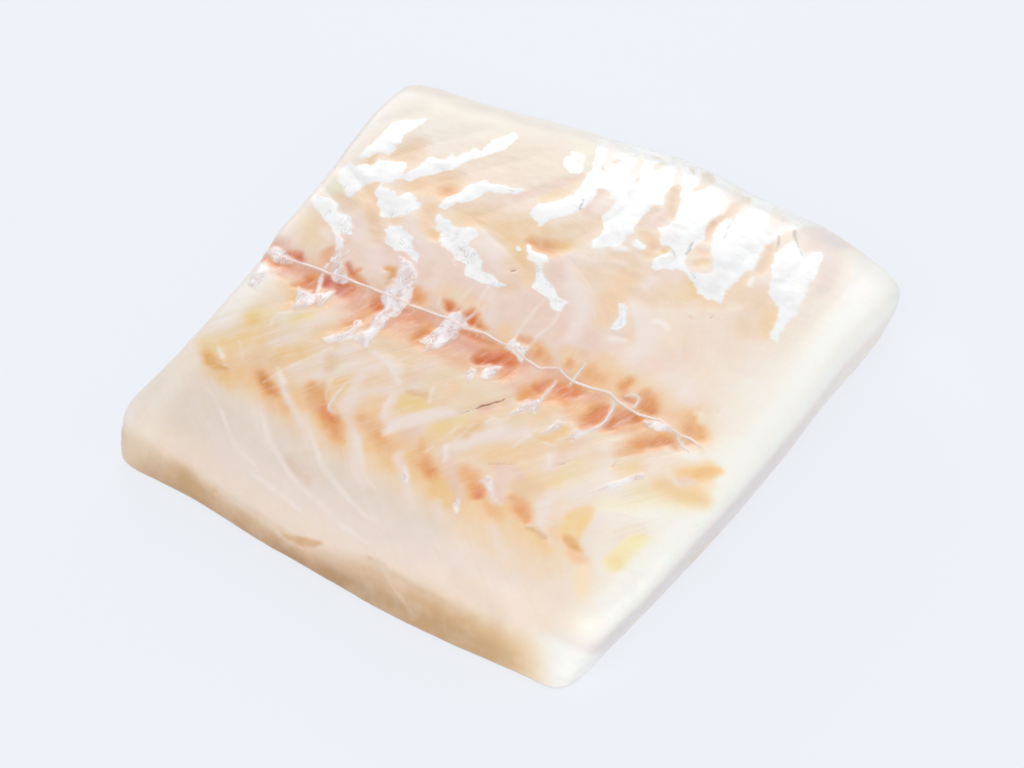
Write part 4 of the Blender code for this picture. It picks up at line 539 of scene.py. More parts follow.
# Thin pale lines of connective tissue: strokes of (x, y, radius).
VEINS = (
    ((-46.0, -43.8, 0.05), (-42.0, -46.0, 0.2), (-37.4, -50.0, 0.3), (-33.8, -52.7, 0.3), (-30.2, -54.0, 0.25), (-26.6, -55.4, 0.1)),
    ((-33.6, -44.0, 0.05), (-31.9, -45.7, 0.25), (-29.2, -48.5, 0.3), (-23.5, -52.4, 0.35), (-18.9, -54.7, 0.35), (-15.1, -56.4, 0.3), (-9.7, -57.9, 0.3), (-4.4, -59.5, 0.3), (0.7, -60.6, 0.1)),
    ((-22.4, -43.8, 0.05), (-19.0, -47.3, 0.35), (-15.0, -50.9, 0.5), (-10.0, -53.1, 0.4), (-6.3, -54.9, 0.3), (-2.2, -56.5, 0.2), (2.7, -57.3, 0.05)),
    ((-28.6, -55.8, 0.05), (-26.8, -56.5, 0.25), (-21.5, -57.6, 0.3), (-16.3, -58.9, 0.3), (-12.9, -60.1, 0.25), (-10.1, -61.1, 0.1)),
    ((-14.1, -40.9, 0.1), (-10.8, -44.3, 0.5), (-9.0, -46.6, 0.5), (-6.9, -48.8, 0.3), (-3.5, -50.9, 0.05)),
    ((-24.0, -33.0, 0.2), (-24.2, -35.2, 0.2), (-22.8, -37.2, 0.15)), ((-20.6, -30.6, 0.15), (-21.4, -33.0, 0.2), (-21.6, -36.4, 0.3), (-21.8, -38.6, 0.35), (-19.8, -38.9, 0.15)),
    ((-12.0, -31.2, 0.15), (-11.3, -33.0, 0.25), (-11.1, -35.2, 0.15)), ((-5.4, -26.4, 0.1), (-5.0, -28.4, 0.25), (-4.2, -29.8, 0.15)), ((5.9, -30.2, 0.1), (5.2, -33.0, 0.15), (4.8, -35.6, 0.1)),
    ((7.8, -29.4, 0.2), (8.4, -27.6, 0.3), (9.4, -27.4, 0.15)), ((-45.8, -32.8, 0.1), (-44.0, -34.4, 0.3), (-42.6, -36.4, 0.1)), ((-47.4, -38.2, 0.1), (-45.4, -38.0, 0.2), (-43.8, -38.6, 0.1)),
    ((-28.0, -26.6, 0.2), (-33.0, -33.6, 0.25), (-36.4, -38.4, 0.1)), ((-35.6, -35.0, 0.1), (-33.6, -36.2, 0.2), (-31.6, -39.0, 0.25), (-28.8, -40.6, 0.15)),
    ((-38.4, -21.4, 0.15), (-42.6, -24.4, 0.25), (-42.0, -27.2, 0.2)), ((-20.0, -24.0, 0.2), (-17.0, -25.4, 0.25), (-13.8, -26.8, 0.35), (-11.8, -28.6, 0.2)), ((-9.4, -38.9, 0.15), (-8.2, -38.2, 0.25), (-7.0, -36.4, 0.15)),
    ((0.6, -39.8, 0.1), (1.2, -39.0, 0.2), (1.6, -38.2, 0.1)), ((13.6, -40.8, 0.3), (15.6, -40.9, 0.3), (17.6, -43.2, 0.2), (19.8, -43.8, 0.15)), ((19.2, -28.2, 0.1), (21.0, -28.2, 0.25), (22.0, -28.0, 0.1)),
    ((22.0, -30.4, 0.15), (23.6, -32.8, 0.25), (24.6, -33.6, 0.1)), ((31.0, -44.2, 0.1), (29.6, -43.0, 0.2), (27.6, -45.2, 0.25), (26.2, -45.8, 0.1)), ((45.0, -24.2, 0.15), (46.4, -25.0, 0.3), (48.0, -24.4, 0.25), (48.6, -22.6, 0.1)),
    ((-18.4, -24.2, 0.05), (-16.8, -25.4, 0.25), (-14.4, -25.7, 0.2), (-13.2, -24.4, 0.05)), ((8.7, -29.2, 0.1), (9.9, -27.5, 0.2), (11.5, -26.1, 0.05)), ((15.2, -31.9, 0.05), (16.4, -29.2, 0.25), (17.2, -26.4, 0.1)),
    ((2.1, -36.4, 0.1), (3.2, -33.9, 0.2), (3.6, -32.0, 0.05)), ((3.6, -28.6, 0.05), (4.7, -26.2, 0.12)), ((-29.6, -29.2, 0.05), (-27.8, -30.6, 0.2), (-27.2, -33.0, 0.1)),
    ((-44.8, -5.2, 0.1), (-44.0, -3.6, 0.25), (-43.0, -2.8, 0.1)), ((-36.0, -18.6, 0.15), (-35.9, -15.0, 0.2), (-36.4, -12.8, 0.15)), ((-43.0, -15.4, 0.1), (-42.0, -17.0, 0.25), (-40.2, -21.0, 0.2)),
    ((-28.8, -6.8, 0.1), (-27.6, -5.6, 0.25), (-26.8, -3.4, 0.15)), ((1.7, 4.4, 0.15), (1.5, 1.0, 0.2), (1.5, -4.0, 0.2), (1.8, -8.4, 0.2)), ((5.6, 3.0, 0.15), (6.5, 0.4, 0.2), (6.4, -2.4, 0.15), (5.3, -5.0, 0.2), (5.3, -8.6, 0.25)),
    ((-12.2, 2.0, 0.1), (-12.5, -3.0, 0.25), (-12.6, -7.6, 0.25)), ((-9.4, 1.6, 0.1), (-9.4, -3.2, 0.25), (-8.4, -5.4, 0.2), (-9.2, -7.4, 0.25)), ((16.9, -7.0, 0.2), (16.7, -9.4, 0.3), (16.6, -12.8, 0.25)),
    ((14.0, -13.2, 0.2), (14.0, -16.0, 0.25), (14.0, -19.2, 0.3)), ((25.4, -11.4, 0.3), (26.6, -13.2, 0.4), (27.2, -16.8, 0.4), (26.9, -20.0, 0.35), (25.6, -22.4, 0.3)),
    ((27.2, -9.8, 0.15), (28.2, -9.2, 0.3), (29.8, -9.0, 0.25), (30.2, -10.4, 0.25), (30.0, -12.4, 0.2)), ((40.8, -14.2, 0.15), (42.4, -16.0, 0.3), (44.6, -17.0, 0.2)),
    ((-18.4, 3.4, 0.1), (-19.6, 5.0, 0.2)), ((-15.8, -7.8, 0.1), (-16.4, -5.6, 0.15)), ((-8.2, -5.4, 0.1), (-7.4, -3.4, 0.15)),
    ((46.8, -37.2, 0.1), (42.8, -35.6, 0.2), (37.0, -37.4, 0.1)), ((30.6, -37.4, 0.1), (34.4, -34.4, 0.25), (37.8, -31.4, 0.15)),
)

MIDLINE = ((-62.0, -10.2), (-50.0, -9.8), (-40.0, -9.4), (-34.0, -9.0), (-28.0, -9.1), (-20.0, -9.4), (-13.0, -9.2), (-8.0, -9.8), (-4.0, -9.2), (0.0, -9.9), (3.0, -9.8),
           (5.6, -11.1), (9.6, -12.0), (11.2, -10.9), (13.0, -10.1), (14.6, -11.0), (17.0, -11.7), (21.0, -11.6), (24.6, -10.9), (27.4, -12.3), (32.0, -12.9),
           (36.0, -12.2), (38.8, -13.3), (41.0, -14.0), (43.2, -13.5), (46.6, -15.2), (62.0, -21.0))

# Threads of connective tissue that lie on the flesh: (x, y) points; width at the middle in mm.
THREADS = (
    (0.34, ((-48.4, -9.8), (-45.0, -9.6), (-41.0, -9.4), (-35.0, -9.1), (-30.0, -9.1), (-27.0, -9.3))),
    (0.34, ((-21.4, -9.5), (-18.0, -9.5), (-13.0, -9.2))),
    (0.34, ((-8.2, -9.7), (-6.0, -9.4), (-4.0, -9.2), (-1.0, -9.8), (1.0, -9.9))),
    (0.36, ((4.4, -10.4), (5.6, -11.1), (7.6, -11.6), (9.8, -12.0))),
    (0.40, ((12.6, -10.1), (14.6, -11.0), (17.0, -11.7), (21.0, -11.6), (24.6, -10.9), (27.4, -12.3), (32.0, -12.9), (36.0, -12.3))),
    (0.34, ((38.6, -13.2), (41.0, -14.0), (43.2, -13.5), (45.2, -14.4), (46.6, -15.2))),
    (0.26, ((14.1, -13.0), (14.0, -16.0), (14.0, -19.6))),
    (0.34, ((25.6, -11.6), (26.8, -13.6), (27.2, -17.0), (26.9, -20.0), (25.6, -22.6))),
    (0.28, ((27.4, -9.8), (28.4, -9.1), (29.9, -8.9), (30.2, -10.6), (30.0, -12.4))),
    (0.30, ((16.9, -7.0), (16.7, -9.4), (16.6, -12.6))),
    (0.24, ((-20.9, -33.0), (-21.6, -36.0), (-21.9, -38.4), (-20.4, -38.9))),
    (0.26, ((-38.9, -1.8), (-39.3, -4.2), (-40.2, -7.2))),
    (0.26, ((-42.8, -15.6), (-41.6, -18.0), (-40.0, -21.6))),
    (0.26, ((-35.9, -14.8), (-36.1, -18.6))),
    (0.26, ((40.8, -14.2), (42.4, -16.2), (44.8, -17.2))),
    (0.26, ((-13.6, -14.6), (-13.0, -15.6), (-13.6, -17.0))),
    (0.26, ((-24.8, -13.0), (-24.2, -16.0), (-24.6, -19.6))),
    (0.24, ((22.6, -26.2), (23.6, -24.4), (24.6, -22.8))),
)

def mixed(base, colour, weight):
    return base + np.asarray(weight)[:, None] * (np.array(colour, float) - base)


def midline(x):
    line = np.array(MIDLINE)
    return np.interp(x, line[:, 0], line[:, 1])


def flesh_fields(x, y, z):
    """Everything that varies over the flesh side: colours from 0 to 255 and distances in mm, positive inside."""
    wx = x + 0.32 * noise(x, y, z, 2.0, 3) + 0.26 * noise(x, y, z, 0.9, 5)
    wy = y + 0.45 * noise(x, y, z, 2.0, 4) + 0.30 * noise(x, y, z, 0.9, 6)
    gap = deepest(wx, wy, FISSURES, outline_depth)
    wet_highlight = np.minimum(deepest(wx, wy, WET_HIGHLIGHTS, outline_depth), -gap)
    mx, my = x + 0.3 * noise(x, y, z, 1.2, 7), y + 0.3 * noise(x, y, z, 1.2, 8)
    milky = deepest(mx, my, MILKY_FILM, outline_depth)
    crack = deepest(x + 0.2 * noise(x, y, z, 1.3, 9), y + 0.2 * noise(x, y, z, 1.3, 10), CRACKS, stroke_depth)
    vein = deepest(x + 0.12 * noise(x, y, z, 1.6, 15), y + 0.12 * noise(x, y, z, 1.6, 16), VEINS, stroke_depth)
    fold_shade = deepest(x + 0.15 * noise(x, y, z, 1.3, 13), y + 0.15 * noise(x, y, z, 1.3, 14), FOLD_SHADES, stroke_depth)

    colour = np.tile(np.array((240.0, 225.0, 211.0)), (len(x), 1))
    px = x + 0.35 * noise(x, y, z, 4.0, 21) + 0.22 * noise(x, y, z, 1.7, 23) + 0.10 * noise(x, y, z, 0.8, 25)
    py = y + 0.35 * noise(x, y, z, 4.0, 22) + 0.22 * noise(x, y, z, 1.7, 24) + 0.10 * noise(x, y, z, 0.8, 26)
    for tone, strength, soft, chain in PAINT:
        near, depth = stroke_depth(px, py, chain, 1.9 * soft + 0.3)
        soft = 0.95 * soft + 0.1
        colour[near] = mixed(colour[near], tone, strength * smoothstep(-1.3 * soft, 0.7 * soft, depth))
    grey = colour @ np.array((0.3, 0.6, 0.1))
    vivid = colour.max(axis=1) - colour.min(axis=1)
    colour = grey[:, None] + (1.26 - 0.18 * smoothstep(60.0, 130.0, vivid) - 0.16 * smoothstep(10.0, 36.0, x) - 0.14 * smoothstep(-4.0, 8.0, y))[:, None] * (colour - grey[:, None])
    # Painted light: the top is made lighter towards the tail end, where the lamps light it less.
    colour = colour + smoothstep(4.0, 34.0, x)[:, None] * np.array((7.0, 5.0, 3.0))
    # Painted sheen: a pale grey-white band along the back slope, with paler streaks in it and the flesh showing in its
    # gaps.
    back_sheen = smoothstep(49.0, 58.0, y + 1.5 * noise(x, y, z, 6.0, 27)) * smoothstep(44.0, 34.0, x) * smoothstep(-62.0, -40.0, x)
    streaks = noise(x + 0.35 * y, y * 0.12, z, 1.6, 28)
    colour = mixed(colour, BACK_SHEEN, 0.75 * back_sheen)
    colour = mixed(colour, (236, 230, 217), 0.6 * back_sheen * smoothstep(0.0, 0.6, streaks))
    colour = mixed(colour, (226, 215, 196), 0.8 * back_sheen * smoothstep(-0.4, 0.4, gap))
    return {"wet_highlight": wet_highlight, "milky": milky, "crack": crack, "fold_shade": fold_shade, "vein": vein, "colour": colour}


def fine_relief(x, y, z, fields):
    """Small heights on the flesh side, in mm: pale tissue stands up, blood and fat lie lower."""
    light = (fields["colour"] @ np.array((0.25, 0.5, 0.25)) - 214.0) / 26.0
    tissue = 0.20 * np.clip(light, -2.2, 1.0) * smoothstep(50.0, 40.0, y) * smoothstep(54.0, 44.0, x)
    wet_highlight = 0.04 * smoothstep(-0.8, 0.8, fields["wet_highlight"]) * smoothstep(56.0, 48.0, y)
    milky = 0.20 * smoothstep(-0.5, 0.6, fields["milky"])
    crack = -0.32 * smoothstep(-0.4, 0.3, fields["crack"])
    line = 0.10 * bump(y, midline(x), 0.7) - 0.16 * bump(y, midline(x), 2.4)
    lumps = 0.07 * clouds(x, y, z, 5.0, 51) + 0.02 * noise(x * 0.6, y, z, 1.5, 55)
    return tissue + wet_highlight + milky + crack + line * smoothstep(52.0, 44.0, x) + lumps


# ---------------------------------------------------------------- the flesh mesh


def build_flesh():
    counts = (TOP_X, TOP_Y, TOP_X, TOP_Y)
    outline, normal = shoulder_outline(counts)
    rim_plan, exponent, foot = wall_shape(outline)
    count = len(outline)

    # Wall rings from the rim of the top down to the foot.
    angle = np.linspace(0.0, np.pi / 2.0, 240)
    rings = np.empty((WALL_ROWS + 1, count, 3))
    for k in range(count):
        p = 2.0 / exponent[k]
        out = np.sin(angle) ** p
        down = np.cos(angle) ** p
        down[-1] = 0.0
        xy = rim_plan[k] + out[:, None] * (outline[k] - rim_plan[k])
        height = body_height(xy[:, 0], xy[:, 1]) + block_relief(xy[:, 0], xy[:, 1])
        z = BOTTOM_ROUND + (height - BOTTOM_ROUND) * down
        xyz = np.column_stack([xy + ((1.0 - down) ** 1.15)[:, None] * foot[k], z])
        along = np.concatenate([[0.0], np.cumsum(np.linalg.norm(np.diff(xyz, axis=0), axis=1))])
        at = np.linspace(0.0, along[-1], WALL_ROWS + 1)
        for axis in range(3):
            rings[:, k, axis] = np.interp(at, along, xyz[:, axis])

    # Top: a Coons patch inside the first ring.
    rim = rings[0]
    ends = np.cumsum((0,) + counts)
    sides = [rim[a:b + 1] if b < count else np.concatenate([rim[a:], rim[:1]]) for a, b in zip(ends[:-1], ends[1:])]
    south, east, north, west = sides[0], sides[1], sides[2][::-1], sides[3][::-1]
    a = np.linspace(0.0, 1.0, TOP_X + 1)[:, None, None]
    b = np.linspace(0.0, 1.0, TOP_Y + 1)[None, :, None]
    grid = ((1 - b) * south[:, None] + b * north[:, None] + (1 - a) * west[None] + a * east[None]
            - (1 - a) * (1 - b) * south[0] - a * (1 - b) * south[-1] - (1 - a) * b * north[0] - a * b * north[-1])
    grid[..., 2] = body_height(grid[..., 0], grid[..., 1]) + block_relief(grid[..., 0], grid[..., 1])

    border = ([(i, 0) for i in range(TOP_X)] + [(TOP_X, j) for j in range(TOP_Y)]
              + [(i, TOP_Y) for i in range(TOP_X, 0, -1)] + [(0, j) for j in range(TOP_Y, 0, -1)])
    index = np.arange((TOP_X + 1) * (TOP_Y + 1)).reshape(TOP_X + 1, TOP_Y + 1)
    points = [grid.reshape(-1, 3)]
    for k, (i, j) in enumerate(border):
        points[0][index[i, j]] = rings[0, k]
    total = len(points[0])
    quads = [np.stack([index[:-1, :-1], index[1:, :-1], index[1:, 1:], index[:-1, 1:]], -1).reshape(-1, 4)]

    upper = np.array([index[i, j] for i, j in border])
    turn = np.roll(np.arange(count), -1)

    def ring_below(upper, positions):
        nonlocal total
        lower = np.arange(total, total + count)
        points.append(positions)
        total += count
        quads.append(np.stack([upper, lower, lower[turn], upper[turn]], -1))
        return lower

    for r in range(1, WALL_ROWS + 1):
        upper = ring_below(upper, rings[r])
    foot_ring = rings[-1]
    ragged = 0.5 * noise(foot_ring[:, 0], foot_ring[:, 1], foot_ring[:, 2], 4.0, 71) + 0.25 * noise(foot_ring[:, 0], foot_ring[:, 1], foot_ring[:, 2], 1.8, 72)
    for degrees in (30.0, 60.0, 90.0):
        t = math.radians(degrees)
        inset = BOTTOM_ROUND * (1.0 - math.cos(t))
        z = BOTTOM_ROUND * (1.0 - math.sin(t))
        xy = foot_ring[:, :2] - (inset + 0.3 * (degrees / 90.0) * ragged)[:, None] * normal
        upper = ring_below(upper, np.column_stack([xy, np.full(count, z)]))

    # Underside: a coarser grid joined to the last ring by wider faces.
    step = UNDER_STEP
    nx, ny = TOP_X // step, TOP_Y // step
    last = points[-1]
    edge = np.array([[i, j] for i, j in border[::step]]) // step
    shrunk = last[::step, :2] * (1.0 - 3.0 / 60.0)
    plane = np.zeros((nx + 1, ny + 1, 2))
    for k, (i, j) in enumerate(edge):
        plane[i, j] = shrunk[k]
    a = np.linspace(0.0, 1.0, nx + 1)[:, None, None]
    b = np.linspace(0.0, 1.0, ny + 1)[None, :, None]
    s, n_, w, e = plane[:, 0], plane[:, -1], plane[0], plane[-1]
    plane = ((1 - b) * s[:, None] + b * n_[:, None] + (1 - a) * w[None] + a * e[None]
             - (1 - a) * (1 - b) * s[0] - a * (1 - b) * s[-1] - (1 - a) * b * n_[0] - a * b * n_[-1])
    flat = np.concatenate([plane.reshape(-1, 2), np.zeros(((nx + 1) * (ny + 1), 1))], 1)
    under_index = total + np.arange((nx + 1) * (ny + 1)).reshape(nx + 1, ny + 1)
    points.append(flat)
    quads.append(np.stack([under_index[:-1, :-1], under_index[:-1, 1:], under_index[1:, 1:], under_index[1:, :-1]], -1).reshape(-1, 4))
    wide = []
    few = len(edge)
    for k in range(few):
        m = (k + 1) % few
        outer = [int(upper[(k * step + q) % count]) for q in range(step + 1)]
        wide.append([int(under_index[tuple(edge[m])]), *reversed(outer), int(under_index[tuple(edge[k])])][::1])

    points = np.concatenate(points)
    shift = 0.5 * (rings.reshape(-1, 3)[:, :2].max(axis=0) + rings.reshape(-1, 3)[:, :2].min(axis=0))
    points[:, :2] -= shift
    quads = np.concatenate(quads)
    tops = (TOP_X + 1) * (TOP_Y + 1)
    walls = tops + WALL_ROWS * count
    edges = walls + 3 * count
    return points, quads, wide, (tops, walls, edges)


def vertex_normals(points, quads):
    a, b, c, d = (points[quads[:, k]] for k in range(4))
    face = np.cross(c - a, d - b)
    total = np.zeros_like(points)
    for k in range(4):
        np.add.at(total, quads[:, k], face)
    return total / np.maximum(np.linalg.norm(total, axis=1), 1e-9)[:, None]


def linear(colour):
    c = np.clip(np.asarray(colour, float) / 255.0, 0.0, 1.0)
    return np.where(c <= 0.04045, c / 12.92, ((c + 0.055) / 1.055) ** 2.4)


# Belly face colours along the fish: its own tan with painted shade in it, and a brown for painted shade towards the
# foot.
FOOT_SHADE_BROWN = (188, 150, 109)
BELLY_STOPS = (-52.0, -42.0, -30.0, -6.0, 18.0, 30.0, 40.0)
BELLY_TONES = ((230, 208, 182), (206, 169, 125), (217, 183, 145), (226, 197, 168), (214, 175, 131), (222, 187, 142), (244, 218, 180))

# Where the pale flap turns into the tan belly face, its own tan with painted shade: (x, s), with s = 0.72 y + 0.69 z in
# mm.
BELLY_EDGE_LINE = ((-60, -33.8), (-52, -34.9), (-41, -36.6), (-31, -38.4), (-20, -39.5), (-8, -39.8), (4, -38.8), (12, -39.4), (24, -40.0), (60, -40.6))

# Marks on that rim and face, pale veins and tan strokes, the darker ones low on the face partly painted shade: colour,
# strength, softness, (x, s, radius) points.
RIM_PAINT = (
    ((216, 184, 150), 0.5, 0.8, ((2, -38.4, 0.3), (12, -39.2, 0.5), (20, -39.9, 0.4))), ((232, 214, 196), 0.7, 0.9, ((-33, -38.6, 0.4), (-24, -39.8, 0.6), (-18, -41.0, 0.5))),
    ((219, 172, 122), 0.95, 0.45, ((-17.4, -41.2, 0.1), (-14.6, -41.1, 0.7), (-12.0, -40.8, 1.2), (-9.8, -40.0, 0.7), (-8.2, -39.0, 0.1))),
    ((242, 224, 208), 0.8, 0.45, ((-34.6, -36.8, 0.05), (-28.6, -37.9, 0.25), (-23.6, -38.4, 0.3), (-18.5, -39.3, 0.3), (-14.6, -39.6, 0.15), (-11.0, -38.9, 0.15))),
    ((240, 222, 206), 0.7, 0.35, ((-18.6, -41.4, 0.05), (-15.6, -41.9, 0.15), (-11.6, -41.7, 0.2), (-9.2, -40.6, 0.2), (-7.6, -39.2, 0.05))),
    ((196, 158, 122), 0.35, 0.8, ((-30.0, -43.2, 0.1), (-22.0, -43.6, 0.3), (-12.0, -43.9, 0.3), (0.0, -44.4, 0.1))),
    ((232, 212, 196), 0.55, 0.5, ((4.6, -38.2, 0.05), (7.4, -40.2, 0.25), (10.2, -42.4, 0.25), (13.4, -44.6, 0.05))), ((198, 160, 124), 0.4, 0.9, ((3.0, -43.8, 0.3), (12.0, -44.2, 0.4), (22.0, -44.4, 0.4))),
    ((218, 182, 146), 0.6, 0.4, ((0.6, -38.2, 0.05), (3.4, -37.6, 0.2), (6.0, -37.8, 0.1))), ((236, 218, 202), 0.6, 0.5, ((-50.0, -34.2, 0.05), (-42.0, -35.4, 0.3), (-36.0, -36.6, 0.2))),
    ((216, 172, 124), 0.6, 0.5, ((-14.0, -42.6, 0.2), (-12.0, -42.9, 0.4), (-9.6, -42.6, 0.2))),
)


def make_flesh():
    points, quads, wide, (tops, walls, edges) = build_flesh()
    x, y, z = points.T
    height = body_height(x, y) + block_relief(x, y)
    drop = np.clip(1.0 - (z - BOTTOM_ROUND) / np.maximum(height - BOTTOM_ROUND, 1.0), 0.0, 1.0)
    drop[:tops] = 0.0
    side = smoothstep(0.12, 0.45, drop)
    under = np.zeros(len(points))
    under[edges:] = 1.0
    under[walls:edges] = np.repeat([0.2, 0.6, 1.0], (edges - walls) // 3)

    fields = flesh_fields(x, y, z)
    rise = fine_relief(x, y, z, fields)
    normals = vertex_normals(points, quads)
    faint = 0.16 * clouds(x, y, z, 4.0, 61) + 0.10 * noise(x * 0.3, y * 0.3, z, 1.2, 63) + 0.05 * noise(x, y, z, 1.0, 64)
    lift = rise * (1.0 - side) + 1.6 * faint * side * smoothstep(1.0, 0.9, drop)
    lift = lift * (under < 0.1)
    points = points + normals * lift[:, None]

    # Sides: tan belly face with painted shade that darkens it towards the foot, pale tail cut, cream head cut and back.
    colour = fields["colour"]
    inward = y - belly_side(x)
    to_tail = smoothstep(12.0, 6.0, tail_side(y) - x) * side
    to_head = smoothstep(7.0, 1.0, x - head_side(y)) * side
    to_back = smoothstep(14.0, 2.0, back_side(x) - y) * side
    warp = clouds(x, y, z, 6.0, 81)
    colour = mixed(colour, (229, 221, 215), to_back)
    head_tone = mixed(np.tile(np.array((247.0, 241.0, 234.0)), (len(x), 1)), (235, 228, 219), smoothstep(10.0, 28.0, y))
    colour = colour + to_head[:, None] * (head_tone - colour)
    slant = 0.72 * y + 0.69 * z
    edge = np.interp(x, *np.array(BELLY_EDGE_LINE).T)
    spread = 1.0 + 1.2 * smoothstep(-10.0, 20.0, x)
    low = smoothstep(edge + 1.3 * spread, edge - (1.2 * spread + 1.6 * smoothstep(4.0, -10.0, x)), slant + 0.7 * warp) * smoothstep(9.0, 6.0, inward)
    # Painted shade: the belly face darkens to brown towards the foot.
    foot_shade = smoothstep(edge - 1.6, -44.6, slant + 0.4 * warp)
    belly = np.stack([np.interp(x, BELLY_STOPS, [tone[k] for tone in BELLY_TONES]) for k in range(3)], 1)
    belly = mixed(belly, FOOT_SHADE_BROWN, foot_shade * smoothstep(-58.0, -48.0, x) * (1.0 - 0.55 * smoothstep(-6.0, 16.0, x)) * smoothstep(42.0, 28.0, x))
    colour = colour + low[:, None] * (belly - colour)
    near_rim = np.flatnonzero(y < -50.0)
    for tone, strength, soft, chain in RIM_PAINT:
        at, depth = stroke_depth(x[near_rim] + 0.3 * warp[near_rim], slant[near_rim], chain, 2.0 * soft)
        at, depth = near_rim[at], depth
        colour[at] = mixed(colour[at], tone, strength * smoothstep(-soft, soft, depth))
    tail_tone = mixed(np.tile(np.array((231.0, 224.0, 221.0)), (len(x), 1)), (247, 238, 230), smoothstep(-20.0, 44.0, y))
    colour = colour + (to_tail * (1.0 - 0.25 * smoothstep(0.6, 1.0, drop)))[:, None] * (tail_tone - colour)
    # Painted light: the belly face turns near white towards the tail corner.
    colour = mixed(colour, (255, 254, 247), smoothstep(34.0, 45.0, x + 0.35 * (slant + 40.0)) * smoothstep(10.0, 3.0, inward) * smoothstep(-36.0, -39.0, slant))
    skin_side = np.array((226, 208, 196), float)[None] + (10.0 * clouds(x, y, z, 7.0, 91))[:, None]
    dark_line = bump(y, MIDLINE_Y + 1.5 * noise(x, y, z, 8.0, 92), 3.0)
    skin_side = skin_side + dark_line[:, None] * (np.array((186, 146, 122), float) - skin_side) * 0.6
    colour = colour + under[:, None] * (skin_side - colour)

    mesh = bpy.data.meshes.new("cod_flesh_body")
    faces = [tuple(q) for q in quads.tolist()] + [tuple(f) for f in wide]
    mesh.from_pydata((points * MM).tolist(), [], faces)
    mesh.update()
    mesh.shade_smooth()

    def write(name, values):
        made = mesh.attributes.new(name, "FLOAT", "POINT")
        made.data.foreach_set("value", np.ascontiguousarray(values, np.float32))

    tint = mesh.attributes.new("tint", "FLOAT_VECTOR", "POINT")
    tint.data.foreach_set("vector", linear(colour).astype(np.float32).ravel())
    open_top = (1.0 - side) * (1.0 - under)
    write("wet_highlight", np.clip(fields["wet_highlight"] - 6.0 * (1.0 - open_top), -4.0, 4.0))
    write("milky", np.clip(fields["milky"] - 6.0 * (1.0 - open_top), -4.0, 4.0))
    write("crack", np.clip(fields["crack"] - 6.0 * (1.0 - open_top), -4.0, 4.0))
    write("vein", np.clip(fields["vein"] - 6.0 * (1.0 - open_top), -4.0, 4.0))
    write("grain", open_top * smoothstep(46.0, 26.0, y) * smoothstep(54.0, 42.0, x) * (0.35 + 0.65 * bump(y, -26.0, 13.0)))
    flow = mesh.attributes.new("flow", "FLOAT_VECTOR", "POINT")
    phase = septum_phase(x, y)
    flow.data.foreach_set("vector", np.column_stack([phase * 12.0, y * 0.16, z * 0.0]).astype(np.float32).ravel())
    write("fold_shade", np.clip(fields["fold_shade"] - 6.0 * (1.0 - open_top), -4.0, 4.0))
    beyond = np.maximum(smoothstep(45.6, 47.6, x), smoothstep(-53.0, -54.5, x))
    write("mid", np.clip(y - midline(x), -4.0, 4.0))
    write("inner", (1.0 - beyond) * open_top)
    # Zone of the grey breaks in the painted highlight.
    write("highlight_break_zone", open_top * smoothstep(17.0, 9.0, y))
    streaks = noise(x + 0.35 * y, y * 0.14, z * 0.0, 2.2, 28)
    # Strength of the painted highlight on the wet patches: weaker in streaks towards the back and gone at the back rim.
    write("highlight_strength", np.maximum(0.0, 1.0 - smoothstep(38.0, 52.0, y) * (0.15 + 0.6 * smoothstep(-0.1, 0.5, streaks)) - smoothstep(6.5, 2.5, back_side(x) - y)))
    write("side", np.clip(side + under, 0.0, 1.0))
    piece = bpy.data.objects.new("cod_flesh_body", mesh)
    bpy.context.scene.collection.objects.link(piece)
    return piece, points[:tops]


# ---------------------------------------------------------------- materials


class Nodes:
    """Short ways to add and join shader nodes."""

    def __init__(self, material):
        material.use_nodes = True
        self.tree = material.node_tree
        self.shader = self.tree.nodes["Principled BSDF"]

    def add(self, kind, **settings):
        node = self.tree.nodes.new(kind)
        for name, value in settings.items():
            setattr(node, name, value)
        return node

    def feed(self, value, socket):
        if isinstance(value, (int, float, tuple)):
            socket.default_value = value
        else:
            self.tree.links.new(value, socket)

    def math(self, operation, a, b=0.0, c=0.0, clamp=False):
        node = self.add("ShaderNodeMath", operation=operation, use_clamp=clamp)
        for value, socket in zip((a, b, c), node.inputs):
            self.feed(value, socket)
        return node.outputs[0]

    def attribute(self, name, vector=False):
        node = self.add("ShaderNodeAttribute", attribute_name=name)
        return node.outputs["Vector"] if vector else node.outputs["Fac"]

    def ramp(self, value, lo, hi, to_lo=0.0, to_hi=1.0):
        node = self.add("ShaderNodeMapRange", interpolation_type="SMOOTHSTEP")
        for socket, v in zip(node.inputs, (value, lo, hi, to_lo, to_hi)):
            self.feed(v, socket)
        return node.outputs[0]

    def noise(self, scale, detail=3.0, rough=0.5, stretch=(1.0, 1.0, 1.0), turn=(0.0, 0.0, 0.0), at=None):
        mapping = self.add("ShaderNodeMapping")
        mapping.inputs["Scale"].default_value = stretch
        mapping.inputs["Rotation"].default_value = turn
        self.feed(self.coordinates() if at is None else at, mapping.inputs["Vector"])
        node = self.add("ShaderNodeTexNoise")
        node.inputs["Scale"].default_value = scale
        node.inputs["Detail"].default_value = detail
        node.inputs["Roughness"].default_value = rough
        self.feed(mapping.outputs[0], node.inputs["Vector"])
        return node.outputs["Fac"]

    def coordinates(self):
        if not hasattr(self, "_coordinates"):
            self._coordinates = self.add("ShaderNodeTexCoord").outputs["Object"]
        return self._coordinates

    def mix(self, factor, a, b, blend="MIX"):
        node = self.add("ShaderNodeMix", data_type="RGBA", blend_type=blend)
        self.feed(factor, node.inputs[0])
        self.feed(a, node.inputs[6])
        self.feed(b, node.inputs[7])
        return node.outputs[2]


def rgb(colour):
    return tuple(float(v) for v in linear(colour)) + (1.0,)


